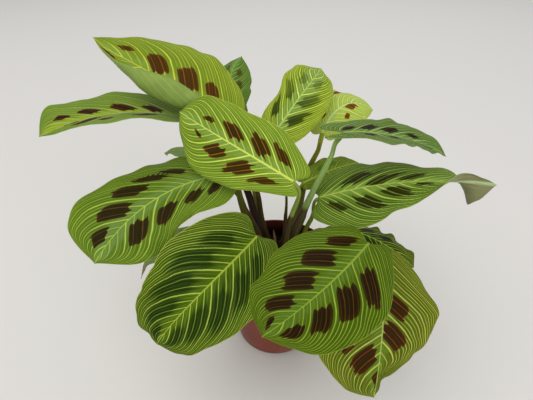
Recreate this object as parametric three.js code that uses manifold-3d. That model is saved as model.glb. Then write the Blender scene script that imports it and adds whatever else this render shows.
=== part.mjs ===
// Potted prayer plant (maranta): sixteen leaf blades on their stems, rooted in soil
// in a round tapered plastic pot. Millimetres, +Z up, origin at the centre of the
// pot's base on the surface it stands on. X is the plant's right, Y is its back.
import * as THREE from 'three';
import * as BufferGeometryUtils from 'three/addons/utils/BufferGeometryUtils.js';
import Module from 'manifold-3d';

// ---- pot ----
const POT_HEIGHT = 119;        // base to top of the rim
const POT_RIM_RADIUS = 65;     // outside of the rim
const POT_BASE_RADIUS = 44.8;  // outside, just above the rounded foot
const POT_WALL = 1.25;
const POT_FLOOR = 1.8;
const RIM_DROP = 10.5;         // height of the rolled rim band
const RIM_STEP = 3.2;          // how far the band stands out from the wall
const FOOT_ROUND = 2.4;
const DRAIN_RADIUS = 4.2;
const DRAIN_CIRCLE = 31;
const DRAIN_COUNT = 8;
const LATHE_STEPS = 48;

// ---- soil ----
const SOIL_TOP = 100;
const SOIL_GAP = 0.35;         // clearance between soil and pot
const STEM_GAP = 0.4;          // clearance between soil and stems

// ---- plant ----
const BLADE_HALF = 0.6;        // half thickness of a leaf blade
const BLADE_ROOT = 1.6;        // half width of a blade where its stem meets it
const BLADE_TIP = 0.7;         // half width left at the tip
const LOBE_AT = 0.05;          // where along the midrib the basal lobes reach back most
const STEM_STEPS = 13;
const STEM_SIDES = 7;

// Leaves. base: root of the midrib. yaw, pitch, roll: degrees along the midrib as
// a + b t + c t^2, t = 0 at the root and 1 at the tip. left and right of the midrib:
// fold, curl: degrees, a + b t. w: width factors at t = 0.1, 0.3, 0.5, 0.7, 0.9.
// twist: degrees, where along the midrib, how gradually. lobe: how far the basal
// lobes reach back past the root.
const LEAVES = [
  { name: 'leaf_center', base: [15.7, -14.8, 222.7], length: 136.6, width: 86.1, lobe: 13.4,
    yaw: [163.3, -17.4, -6.2], pitch: [27.4, -15.6, -0.1], roll: [-40.6, -5.6, -3.9],
    left: { fold: [-4.3, -0.4], curl: [-17.4, -0.2], w: [0.79, 0.84, 0.94, 1.06, 1.04] },
    right: { fold: [4.9, 7.2], curl: [-10.2, 4.6], w: [1.12, 0.95, 0.79, 0.87, 1.09] },
    twist: [0, 0.8, 0.05], rows: 11, cols: 3, color: 0x93b545 },
  { name: 'leaf_front_right', base: [78.4, -68.4, 193.7], length: 140.6, width: 107.3, lobe: 16.6,
    yaw: [234.3, -6.6, -6.1], pitch: [4.5, 2.7, -2.7], roll: [-9.9, 5.9, 4.0],
    left: { fold: [0.0, -1.3], curl: [-14.8, -1.1], w: [0.85, 0.85, 0.84, 0.87, 1.01] },
    right: { fold: [2.8, -5.9], curl: [-10.7, -3.5], w: [1.12, 1.06, 0.97, 0.96, 1.17] },
    twist: [0, 0.8, 0.05], rows: 11, cols: 3, color: 0x6f9a40 },
  { name: 'leaf_front_left', base: [-19.6, -37.7, 176.2], length: 141.8, width: 100.6, lobe: 13.5,
    yaw: [241.4, -43.0, -8.3], pitch: [1.3, -54.1, -7.3], roll: [-28.8, -15.5, -8.3],
    left: { fold: [10.1, 3.5], curl: [-7.5, 2.2], w: [1.01, 0.98, 0.93, 0.90, 0.98] },
    right: { fold: [14.9, 9.8], curl: [-7.0, 4.7], w: [1.18, 1.06, 1.03, 0.99, 1.10] },
    twist: [0, 0.8, 0.05], rows: 11, cols: 3, color: 0x55803a },
  { name: 'leaf_left', base: [-49.1, 21.1, 210.2], length: 160.7, width: 112.6, lobe: 7.2,
    yaw: [204.3, 43.6, 6.7], pitch: [8.0, -31.7, 4.0], roll: [-7.3, -7.8, -8.7],
    left: { fold: [-2.9, 0.1], curl: [-15.6, 0.0], w: [1.04, 0.74, 0.64, 0.85, 1.13] },
    right: { fold: [-1.7, 3.8], curl: [-14.1, 2.9], w: [1.02, 1.00, 0.83, 1.07, 1.24] },
    twist: [0, 0.8, 0.05], rows: 11, cols: 3, color: 0x7fa645 },
  { name: 'leaf_upper_left', base: [-50.8, 57.5, 251.7], length: 175.0, width: 118.0, lobe: 10.5,
    yaw: [142.0, 22.6, 11.6], pitch: [16.8, 10.2, 0.4], roll: [-30.0, 2.2, 1.1],
    left: { fold: [10.0, -20.0], curl: [225.0, -130.0], w: [0.98, 1.20, 1.15, 0.80, 0.55] },
    right: { fold: [4.1, -2.8], curl: [-21.2, -1.9], w: [1.07, 1.06, 1.04, 0.98, 0.94] },
    twist: [0, 0.8, 0.05], rows: 12, cols: 5, color: 0x9bb84a },
  { name: 'leaf_low_right', base: [104.2, -38.8, 159.5], length: 144.3, width: 112.2, lobe: 6.9,
    yaw: [262.7, -3.7, -0.2], pitch: [-21.7, -48.8, -8.9], roll: [-13.7, -1.5, -4.5],
    left: { fold: [-1.6, 4.6], curl: [-14.7, 3.2], w: [0.90, 1.04, 0.95, 0.67, -0.26] },
    right: { fold: [0.7, 5.4], curl: [-12.2, 3.9], w: [0.98, 1.03, 1.10, 1.17, 1.14] },
    twist: [0, 0.8, 0.05], rows: 14, cols: 3, color: 0x7d9b34 },
  { name: 'leaf_right', base: [43.7, 10.0, 188.5], length: 163.3, width: 99.6, lobe: 14.0,
    yaw: [-11.9, -17.8, -16.7], pitch: [26.1, -10.6, -0.5], roll: [20.1, -16.6, -6.8],
    left: { fold: [-1.9, -2.6], curl: [-14.0, -1.4], w: [1.23, 0.94, 0.76, 0.73, 0.80] },
    right: { fold: [-1.9, 4.7], curl: [-15.0, 2.9], w: [1.28, 1.06, 0.83, 0.54, 0.31] },
    twist: [-110, 0.828, 0.031], rows: 24, cols: 3, color: 0x6a9446 },
  { name: 'leaf_upper_right', base: [65.1, 30.2, 252.3], length: 109.9, width: 62.0, lobe: 26.1,
    yaw: [6.9, -17.3, -5.9], pitch: [2.2, -30.3, 1.9], roll: [-1.8, 0.8, -1.6],
    left: { fold: [7.1, 8.8], curl: [-8.7, 5.6], w: [1.08, 1.00, 0.94, 0.99, 1.10] },
    right: { fold: [6.4, 8.3], curl: [-9.4, 5.3], w: [0.91, 1.03, 1.03, 1.00, 0.96] },
    twist: [0, 0.8, 0.05], rows: 9, cols: 3, color: 0x6d8f5c },
  { name: 'leaf_top', base: [-4.6, 55.0, 234.5], length: 119.7, width: 76.6, lobe: 8.1,
    yaw: [47.0, 12.6, 8.8], pitch: [41.0, -33.0, -2.1], roll: [14.1, 4.5, 3.5],
    left: { fold: [-3.0, 4.0], curl: [-15.9, 2.8], w: [0.99, 0.75, 0.68, 0.96, 1.21] },
    right: { fold: [-5.2, 1.8], curl: [-17.7, 1.0], w: [1.08, 0.92, 0.86, 0.94, 1.03] },
    twist: [0, 0.8, 0.05], rows: 11, cols: 3, color: 0xa9c452 },
  { name: 'leaf_far_left', base: [-83.6, 77.4, 243.1], length: 162.0, width: 90.1, lobe: 7.2,
    yaw: [190.3, 22.4, 9.7], pitch: [23.6, -37.8, 0.1], roll: [2.2, -0.2, -4.2],
    left: { fold: [11.4, 3.1], curl: [-6.9, 2.0], w: [0.91, 0.94, 0.96, 0.99, 1.02] },
    right: { fold: [10.7, 3.2], curl: [-6.8, 2.1], w: [1.06, 1.05, 0.96, 0.97, 1.35] },
    twist: [0, 0.8, 0.05], rows: 11, cols: 3, color: 0x8fb03f },
  { name: 'leaf_young', base: [51.6, 77.3, 228.8], length: 103.1, width: 64.2, lobe: 7.0,
    yaw: [61.3, -30.9, -15.6], pitch: [41.4, -70.6, -11.2], roll: [21.0, 2.0, 0.1],
    left: { fold: [-3.5, -0.2], curl: [-15.8, -0.1], w: [1.00, 1.03, 1.05, 1.02, 0.99] },
    right: { fold: [-7.9, -1.2], curl: [-19.7, -1.0], w: [1.00, 1.00, 0.99, 0.98, 0.95] },
    twist: [0, 0.8, 0.05], rows: 9, cols: 3, color: 0xb9cf5c },
  { name: 'leaf_back', base: [-33.3, 80.8, 236.9], length: 105.5, width: 60.8, lobe: 6.9,
    yaw: [135.2, -66.0, -14.8], pitch: [47.9, -35.6, 4.3], roll: [17.3, -8.3, -7.2],
    left: { fold: [-11.7, -3.6], curl: [-22.4, -2.4], w: [1.00, 1.00, 1.00, 0.99, 0.98] },
    right: { fold: [-14.8, 0.4], curl: [-25.0, 0.3], w: [0.92, 0.86, 0.92, 1.01, 1.09] },
    twist: [0, 0.8, 0.05], rows: 9, cols: 3, color: 0x4e7a3c },
  { name: 'leaf_small_right', base: [60.3, 18.2, 144.7], length: 99.8, width: 60.2, lobe: 7.0,
    yaw: [-28.6, -12.2, -6.4], pitch: [14.4, -36.9, -2.0], roll: [-7.6, 5.2, 4.4],
    left: { fold: [-8.8, 2.5], curl: [-20.0, 1.7], w: [0.98, 0.98, 1.00, 1.02, 1.05] },
    right: { fold: [-6.1, -0.0], curl: [-18.0, -0.0], w: [1.00, 1.00, 1.00, 1.00, 1.00] },
    twist: [0, 0.8, 0.05], rows: 9, cols: 3, color: 0x3f6228 },
  { name: 'leaf_inner_right', base: [29.7, 40.5, 187.2], length: 91.7, width: 38.5, lobe: 6.8,
    yaw: [34.8, 5.0, 0.6], pitch: [8.0, -21.5, -1.0], roll: [25.6, 2.0, 1.0],
    left: { fold: [-4.9, 0.8], curl: [-17.2, 0.5], w: [1.00, 1.00, 1.00, 1.00, 1.00] },
    right: { fold: [-8.7, -0.2], curl: [-19.5, -0.1], w: [1.00, 1.00, 1.00, 1.00, 1.00] },
    twist: [0, 0.8, 0.05], rows: 9, cols: 3, color: 0x95ab45 },
  { name: 'leaf_inner_left', base: [-67.3, 48.0, 196.8], length: 82.5, width: 40.3, lobe: 7.0,
    yaw: [126.5, 32.1, 11.2], pitch: [21.3, -35.5, -9.5], roll: [11.1, -3.0, -2.9],
    left: { fold: [3.4, 2.9], curl: [-11.4, 1.9], w: [0.99, 0.96, 0.96, 0.98, 1.00] },
    right: { fold: [1.3, 4.4], curl: [-12.5, 2.9], w: [1.00, 1.00, 1.00, 1.01, 1.02] },
    twist: [0, 0.8, 0.05], rows: 9, cols: 3, color: 0x9fb36c },
  { name: 'leaf_low_left', base: [-57.9, 0.8, 155.5], length: 103.4, width: 51.0, lobe: 7.0,
    yaw: [185.6, 16.5, 7.1], pitch: [-2.0, -37.7, -6.9], roll: [4.8, -0.2, -0.6],
    left: { fold: [-1.8, 2.0], curl: [-15.0, 1.3], w: [1.00, 0.99, 0.98, 0.75, 0.30] },
    right: { fold: [-2.6, 2.1], curl: [-15.4, 1.4], w: [1.00, 1.00, 1.00, 0.75, 0.30] },
    twist: [0, 0.8, 0.05], rows: 9, cols: 3, color: 0x8a9d67 },
];

// Stems: a wide sheath below, a slimmer petiole above, thickened just under the blade.
const STEMS = [
  { name: 'stem_upper_left', sheath: 0.45, rLow: 3.1, rTop: 2.4, color: 0x4a2a2c,
    points: [[-4.5, 25.5, 100.9], [-9.8, 28.3, 122.9], [-16.3, 36.3, 143.4], [-19.0, 40.6, 165.8], [-23.6, 44.5, 188.0], [-30.0, 48.5, 209.8], [-38.6, 51.7, 230.8], [-49.8, 57.0, 250.1]] },
  { name: 'stem_far_left', sheath: 0.50, rLow: 4.2, rTop: 3.5, color: 0x43262e,
    points: [[-14.0, 15.0, 100.9], [-15.8, 21.0, 124.8], [-22.8, 30.4, 146.7], [-29.6, 41.9, 167.5], [-38.6, 52.1, 188.2], [-50.1, 61.4, 208.2], [-65.4, 71.7, 224.7], [-82.2, 77.2, 241.5]] },
  { name: 'stem_back', sheath: 0.35, rLow: 2.5, rTop: 1.8, color: 0x8a9350,
    points: [[-8.6, 30.8, 100.9], [-13.0, 35.4, 120.7], [-18.7, 44.2, 138.9], [-23.7, 53.4, 157.1], [-27.8, 59.9, 176.7], [-30.9, 65.8, 196.6], [-31.2, 73.2, 216.2], [-33.1, 80.4, 235.7]] },
  { name: 'stem_left', sheath: 0.60, rLow: 4.8, rTop: 4.0, color: 0x66583a,
    points: [[-10.0, 4.0, 100.9], [-13.0, 6.1, 117.0], [-18.5, 9.8, 132.2], [-25.0, 12.8, 147.2], [-32.1, 14.9, 162.0], [-37.0, 16.1, 177.8], [-40.5, 20.0, 193.5], [-47.3, 21.6, 207.8]] },
  { name: 'stem_inner_left', sheath: 0.40, rLow: 2.3, rTop: 1.7, color: 0x4f3538,
    points: [[-21.0, 22.0, 100.9], [-22.5, 29.0, 115.2], [-26.4, 38.8, 127.6], [-33.0, 44.5, 141.5], [-39.6, 47.4, 156.2], [-46.9, 47.2, 170.9], [-57.7, 44.6, 182.9], [-66.7, 47.4, 195.6]] },
  { name: 'stem_low_left', sheath: 0.40, rLow: 2.2, rTop: 1.4, color: 0x5a4638,
    points: [[-23.0, -2.0, 100.9], [-23.3, -1.5, 110.9], [-24.4, -0.1, 120.7], [-26.8, 1.3, 130.3], [-32.0, 2.6, 138.6], [-39.5, 3.3, 145.2], [-48.5, 2.0, 149.1], [-56.7, 0.9, 154.6]] },
  { name: 'stem_front_left', sheath: 0.40, rLow: 2.6, rTop: 1.7, color: 0x5b5138,
    points: [[-6.0, -6.0, 100.9], [-5.9, -6.9, 112.8], [-5.9, -9.3, 124.5], [-6.6, -12.6, 136.0], [-8.7, -17.5, 146.7], [-12.0, -23.4, 156.6], [-15.3, -29.4, 166.3], [-19.0, -36.6, 175.1]] },
  { name: 'stem_center', sheath: 0.50, rLow: 3.6, rTop: 2.6, color: 0x6a4848,
    points: [[8.0, 6.0, 100.9], [8.7, 4.6, 118.7], [10.3, 2.5, 136.5], [12.5, 1.7, 154.2], [15.6, 0.7, 171.8], [19.3, -3.1, 188.9], [21.1, -11.0, 204.9], [16.7, -14.9, 220.9]] },
  { name: 'stem_top', sheath: 0.36, rLow: 2.6, rTop: 1.4, color: 0x4b3a2e,
    points: [[3.2, 26.0, 100.9], [9.0, 24.6, 120.1], [11.1, 30.7, 139.1], [12.1, 37.7, 158.0], [11.2, 43.5, 177.3], [7.6, 48.4, 196.6], [-0.7, 51.0, 214.7], [-4.8, 54.6, 233.2]] },
  { name: 'stem_young', sheath: 0.50, rLow: 3.6, rTop: 3.6, color: 0x66543a,
    points: [[20.0, 35.0, 100.9], [23.4, 44.3, 118.7], [28.2, 56.3, 135.0], [31.6, 66.9, 152.5], [36.5, 78.2, 169.2], [43.1, 84.6, 187.4], [48.9, 79.8, 206.6], [51.2, 76.9, 226.3]] },
  { name: 'stem_inner_right', sheath: 0.35, rLow: 2.3, rTop: 1.7, color: 0x76803e,
    points: [[10.0, 30.0, 100.9], [12.6, 30.2, 113.4], [17.0, 32.5, 125.2], [20.1, 36.5, 137.0], [23.1, 38.2, 149.4], [25.5, 38.2, 162.0], [25.0, 37.2, 174.8], [28.8, 39.8, 186.0]] },
  { name: 'stem_upper_right', sheath: 0.40, rLow: 5.5, rTop: 3.3, color: 0x6d7a4e,
    points: [[18.0, 14.0, 100.9], [18.1, 14.3, 123.7], [22.7, 14.9, 145.9], [29.9, 15.1, 167.6], [37.5, 17.2, 188.9], [46.8, 22.4, 209.1], [56.5, 29.2, 228.5], [63.6, 30.2, 249.7]] },
  { name: 'stem_right', sheath: 0.40, rLow: 3.0, rTop: 2.5, color: 0x7f9c4e,
    points: [[26.0, 7.0, 100.9], [26.7, 7.6, 113.6], [28.5, 8.9, 126.1], [30.8, 10.2, 138.5], [34.3, 10.9, 150.7], [38.6, 11.0, 162.6], [39.1, 11.1, 175.2], [42.8, 10.2, 187.0]] },
  { name: 'stem_small_right', sheath: 0.40, rLow: 2.3, rTop: 1.5, color: 0x5a4f36,
    points: [[27.0, 19.0, 100.9], [27.6, 19.1, 109.3], [30.0, 19.7, 117.3], [34.0, 20.2, 124.6], [39.3, 20.8, 131.1], [45.7, 21.2, 136.6], [53.8, 21.0, 138.2], [59.5, 18.6, 143.5]] },
  { name: 'stem_front_right', sheath: 0.40, rLow: 2.9, rTop: 2.2, color: 0x66793c,
    points: [[15.0, -4.0, 100.9], [18.6, -7.3, 119.8], [25.2, -13.5, 137.3], [33.7, -22.0, 152.9], [43.9, -32.7, 165.8], [56.2, -43.9, 176.2], [71.6, -54.4, 182.5], [78.7, -67.0, 192.3]] },
  { name: 'stem_low_right', sheath: 0.40, rLow: 2.7, rTop: 2.1, color: 0x66793c,
    points: [[27.0, -3.0, 100.9], [28.8, -10.0, 115.8], [35.3, -21.0, 127.0], [47.2, -30.2, 134.8], [61.4, -37.0, 141.1], [77.3, -37.9, 146.8], [93.1, -33.3, 151.1], [103.9, -37.0, 158.3]] },
];

const DEG = Math.PI / 180;
const group = new THREE.Group();
const wasm = await Module();
wasm.setup();

function addMesh(geometry, name, color, roughness) {
  const material = new THREE.MeshStandardMaterial({ color, roughness, metalness: 0 });
  const mesh = new THREE.Mesh(geometry, material);
  mesh.name = name;
  group.add(mesh);
  return mesh;
}

function merged(geometry) {
  const g = geometry.clone();
  for (const key of Object.keys(g.attributes)) if (key !== 'position') g.deleteAttribute(key);
  return BufferGeometryUtils.mergeVertices(g, 1e-4);
}

function toSolid(geometry) {
  const g = merged(geometry);
  return new wasm.Manifold(new wasm.Mesh({
    numProp: 3,
    vertProperties: Float32Array.from(g.attributes.position.array),
    triVerts: Uint32Array.from(g.index.array),
  }));
}

function fromSolid(solid) {
  const m = solid.getMesh();
  const g = new THREE.BufferGeometry();
  g.setAttribute('position', new THREE.BufferAttribute(Float32Array.from(m.vertProperties), 3));
  g.setIndex(Array.from(m.triVerts));
  g.computeVertexNormals();
  return g;
}

// Lathe about +Z from [radius, height] pairs.
function latheZ(pairs, steps) {
  const g = new THREE.LatheGeometry(pairs.map(([r, z]) => new THREE.Vector2(r, z)), steps);
  g.rotateX(Math.PI / 2);
  return g;
}

// ---- pot: thin tapered shell with a rolled rim, rounded foot and drain holes ----
const wallTopZ = POT_HEIGHT - RIM_DROP;
const wallTopR = POT_RIM_RADIUS - RIM_STEP;
const slope = (wallTopR - POT_BASE_RADIUS) / (wallTopZ - FOOT_ROUND);
const outerR = (z) => POT_BASE_RADIUS + slope * (z - FOOT_ROUND);
const innerR = (z) => outerR(z) - POT_WALL;

function buildPot() {
  const profile = [
    [0, 0],
    [POT_BASE_RADIUS - FOOT_ROUND, 0],
    [POT_BASE_RADIUS - 0.7, 0.75],
    [POT_BASE_RADIUS, FOOT_ROUND],
    [outerR(55), 55],
    [wallTopR, wallTopZ],
    [POT_RIM_RADIUS - 0.5, wallTopZ + 0.6],
    [POT_RIM_RADIUS, wallTopZ + 1.8],
    [POT_RIM_RADIUS, POT_HEIGHT - 1.2],
    [POT_RIM_RADIUS - 0.8, POT_HEIGHT - 0.2],
    [POT_RIM_RADIUS - 1.8, POT_HEIGHT],
    [POT_RIM_RADIUS - 2.6, POT_HEIGHT - 1.0],
    [innerR(wallTopZ), wallTopZ - 1.5],
    [innerR(55), 55],
    [innerR(POT_FLOOR + 1.4), POT_FLOOR + 1.4],
    [innerR(POT_FLOOR + 1.4) - 1.2, POT_FLOOR],
    [0, POT_FLOOR],
  ];
  let pot = toSolid(latheZ(profile, LATHE_STEPS));
  for (let i = 0; i < DRAIN_COUNT; i++) {
    const a = (2 * Math.PI * (i + 0.5)) / DRAIN_COUNT;
    const hole = new THREE.CylinderGeometry(DRAIN_RADIUS, DRAIN_RADIUS, 3 * POT_FLOOR, 10);
    hole.rotateX(Math.PI / 2);
    hole.translate(DRAIN_CIRCLE * Math.cos(a), DRAIN_CIRCLE * Math.sin(a), POT_FLOOR / 2);
    pot = pot.subtract(toSolid(hole));
  }
  return fromSolid(pot);
}

function buildSoil() {
  const z0 = POT_FLOOR + SOIL_GAP;
  return merged(latheZ([
    [0, z0],
    [innerR(z0 + 1.6) - 1.9, z0],
    [innerR(z0 + 1.6) - SOIL_GAP, z0 + 1.6],
    [innerR(SOIL_TOP) - SOIL_GAP, SOIL_TOP],
    [0, SOIL_TOP],
  ], 32));
}

// ---- leaf blades ----
const outline = (t) => Math.pow(Math.max(0, Math.sin(Math.PI * Math.pow(t, 0.93))), 0.58)
  * (1 - Math.exp(-(1 - t) / 0.03));

const KNOTS = [0, 0.1, 0.3, 0.5, 0.7, 0.9, 1];
function widthFactor(t, w) {
  const m = [w[0], ...w, w[4]];
  let k = 0;
  while (k < KNOTS.length - 2 && t >= KNOTS[k + 1]) k++;
  const h = KNOTS[k + 1] - KNOTS[k];
  const x = (t - KNOTS[k]) / h;
  const slopeAt = (i) => {
    const a = Math.max(i - 1, 0), b = Math.min(i + 1, KNOTS.length - 1);
    return ((m[b] - m[a]) / (KNOTS[b] - KNOTS[a])) * h;
  };
  const v = (2 * x ** 3 - 3 * x ** 2 + 1) * m[k] + (x ** 3 - 2 * x ** 2 + x) * slopeAt(k)
    + (-2 * x ** 3 + 3 * x ** 2) * m[k + 1] + (x ** 3 - x ** 2) * slopeAt(k + 1);
  return Math.max(v, 0.12);
}

// Frames along a midrib at the given parameters, integrated in fine steps.
function midrib(leaf, ts) {
  const quad = (c, t) => (c[0] + c[1] * t + c[2] * t * t) * DEG;
  const frameAt = (t) => {
    const y = quad(leaf.yaw, t), p = quad(leaf.pitch, t);
    const r = quad(leaf.roll, t)
      + (leaf.twist[0] * DEG) / (1 + Math.exp(-(t - leaf.twist[1]) / leaf.twist[2]));
    const T = new THREE.Vector3(Math.cos(p) * Math.cos(y), Math.cos(p) * Math.sin(y), Math.sin(p));
    const A0 = new THREE.Vector3(-Math.sin(y), Math.cos(y), 0);
    const N0 = new THREE.Vector3().crossVectors(T, A0);
    const A = A0.clone().multiplyScalar(Math.cos(r)).addScaledVector(N0, Math.sin(r));
    const N = N0.clone().multiplyScalar(Math.cos(r)).addScaledVector(A0, -Math.sin(r));
    return { T, A, N };
  };
  const FINE = 96;
  const points = [new THREE.Vector3(...leaf.base)];
  for (let i = 1; i <= FINE; i++) {
    const a = frameAt((i - 1) / FINE).T, b = frameAt(i / FINE).T;
    points.push(points[i - 1].clone().addScaledVector(a.add(b), (0.5 * leaf.length) / FINE));
  }
  return ts.map((t) => {
    const x = Math.min(t * FINE, FINE - 1e-9), i = Math.floor(x);
    return { t, M: points[i].clone().lerp(points[i + 1], x - i), ...frameAt(t) };
  });
}

// A blade is a thin slab, bent: its long axis follows the midrib, and each half of its
// width follows a folded and curled cross-section.
function buildBlade(leaf) {
  const { rows, cols } = leaf;
  const g = merged(new THREE.BoxGeometry(rows, 2 * cols, 2, rows, 2 * cols, 1));
  const pos = g.attributes.position;
  const ts = [];
  for (let i = 0; i <= rows; i++) ts.push(leaf.twist[0] === 0 ? 0.5 - 0.5 * Math.cos(Math.PI * (0.12 + 0.88 * i / rows) ** 1.0) : i / rows);
  if (leaf.twist[0] === 0) { const a = ts[0]; for (let i = 0; i <= rows; i++) ts[i] = (ts[i] - a) / (1 - a); }
  const ribs = midrib(leaf, ts);
  const SUB = 12;
  for (let i = 0; i < pos.count; i++) {
    const row = Math.round(pos.getX(i) + rows / 2);
    const col = Math.round(pos.getY(i));
    const side = col >= 0 ? leaf.left : leaf.right;
    const sign = col >= 0 ? 1 : -1;
    const s = Math.abs(col) / cols;
    const rib = ribs[row];
    const t = rib.t;
    const w = Math.max(leaf.width * 0.5 * outline(t) * widthFactor(t, side.w),
      BLADE_ROOT + (BLADE_TIP - BLADE_ROOT) * t);
    const fold = (side.fold[0] + side.fold[1] * t) * DEG;
    const curl = (side.curl[0] + side.curl[1] * t) * DEG;
    const angle = (x) => fold + curl * x ** 1.5;
    let c = 0, h = 0;
    for (let j = 0; j < SUB; j++) {
      const x = (s * (j + 0.5)) / SUB;
      c += Math.cos(angle(x)) * s / SUB;
      h += Math.sin(angle(x)) * s / SUB;
    }
    const back = leaf.lobe * (t / LOBE_AT) * Math.exp(1 - t / LOBE_AT) * s * s;
    const p = rib.M.clone()
      .addScaledVector(rib.A, sign * w * c)
      .addScaledVector(rib.N, w * h)
      .addScaledVector(rib.T, -back);
    const tilt = s === 0 ? 0 : angle(s);
    const n = rib.N.clone().multiplyScalar(Math.cos(tilt)).addScaledVector(rib.A, -sign * Math.sin(tilt));
    p.addScaledVector(n, BLADE_HALF * Math.sign(pos.getZ(i)));
    pos.setXYZ(i, p.x, p.y, p.z);
  }
  g.computeVertexNormals();
  return g;
}

// ---- stems: a round section swept along a smooth curve, then tapered ----
function buildStem(stem) {
  const curve = new THREE.CatmullRomCurve3(stem.points.map((p) => new THREE.Vector3(...p)), false, 'centripetal');
  const section = new THREE.Shape();
  for (let i = 0; i < STEM_SIDES; i++) {
    const a = (2 * Math.PI * i) / STEM_SIDES;
    const x = Math.cos(a), y = Math.sin(a);
    if (i === 0) section.moveTo(x, y); else section.lineTo(x, y);
  }
  section.closePath();
  const g = merged(new THREE.ExtrudeGeometry(section, { steps: STEM_STEPS, extrudePath: curve, bevelEnabled: false }));
  const rings = curve.getSpacedPoints(STEM_STEPS);
  const radius = (f) => (stem.rTop + (stem.rLow - stem.rTop) * (1 - 1 / (1 + Math.exp(-(f - stem.sheath) / 0.05))))
    * (1 - 0.28 * THREE.MathUtils.smoothstep(f, 0.6, 0.92))
    * (1 + 0.15 * Math.exp(-(((f - 0.95) / 0.05) ** 2)));
  const pos = g.attributes.position;
  const p = new THREE.Vector3();
  for (let i = 0; i < pos.count; i++) {
    p.fromBufferAttribute(pos, i);
    let best = 0;
    for (let k = 1; k < rings.length; k++) if (rings[k].distanceTo(p) < rings[best].distanceTo(p)) best = k;
    p.sub(rings[best]).multiplyScalar(radius(best / STEM_STEPS)).add(rings[best]);
    if (best === 0) p.z = SOIL_TOP + STEM_GAP; // cut level where it leaves the soil
    pos.setXYZ(i, p.x, p.y, p.z);
  }
  g.computeVertexNormals();
  return g;
}

// ---- a dry, pointed brown sheath left standing among the stems ----
function buildDrySheath() {
  const g = new THREE.ConeGeometry(2.6, 42, 8);
  g.rotateX(Math.PI / 2);
  g.scale(1, 0.55, 1);
  g.rotateX(-6 * DEG);
  g.rotateY(-7 * DEG);
  g.translate(-0.2, 13.0, SOIL_TOP + 22.4);
  return merged(g);
}

addMesh(buildPot(), 'pot', 0x6b3a2e, 0.45);
addMesh(buildSoil(), 'potting_soil', 0x2a1d15, 0.95);
for (const leaf of LEAVES) addMesh(buildBlade(leaf), leaf.name, leaf.color, 0.5);
for (const stem of STEMS) addMesh(buildStem(stem), stem.name, stem.color, 0.5);
addMesh(buildDrySheath(), 'dry_sheath', 0x5b3a22, 0.8);

export default group;
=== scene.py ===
# Potted prayer plant: broad blotched leaves on sheathed stems, in dark soil in a
# tapered plastic nursery pot. Metres, +Z up, origin at the centre of the pot's base.
import math
import bpy
import numpy as np
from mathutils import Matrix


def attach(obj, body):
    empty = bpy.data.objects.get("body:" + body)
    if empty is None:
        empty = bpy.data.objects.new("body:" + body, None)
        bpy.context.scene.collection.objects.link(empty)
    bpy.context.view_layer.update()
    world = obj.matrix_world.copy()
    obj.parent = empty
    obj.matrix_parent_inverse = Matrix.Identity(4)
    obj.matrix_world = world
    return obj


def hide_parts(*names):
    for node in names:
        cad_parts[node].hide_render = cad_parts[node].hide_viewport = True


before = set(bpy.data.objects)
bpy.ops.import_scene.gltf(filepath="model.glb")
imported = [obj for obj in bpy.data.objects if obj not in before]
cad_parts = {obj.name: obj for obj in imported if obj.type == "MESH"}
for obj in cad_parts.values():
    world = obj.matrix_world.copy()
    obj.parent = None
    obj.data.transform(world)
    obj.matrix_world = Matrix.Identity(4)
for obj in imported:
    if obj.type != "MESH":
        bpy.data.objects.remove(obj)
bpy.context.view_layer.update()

MM = 0.001
scene = bpy.context.scene
rad = math.pi / 180

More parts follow.
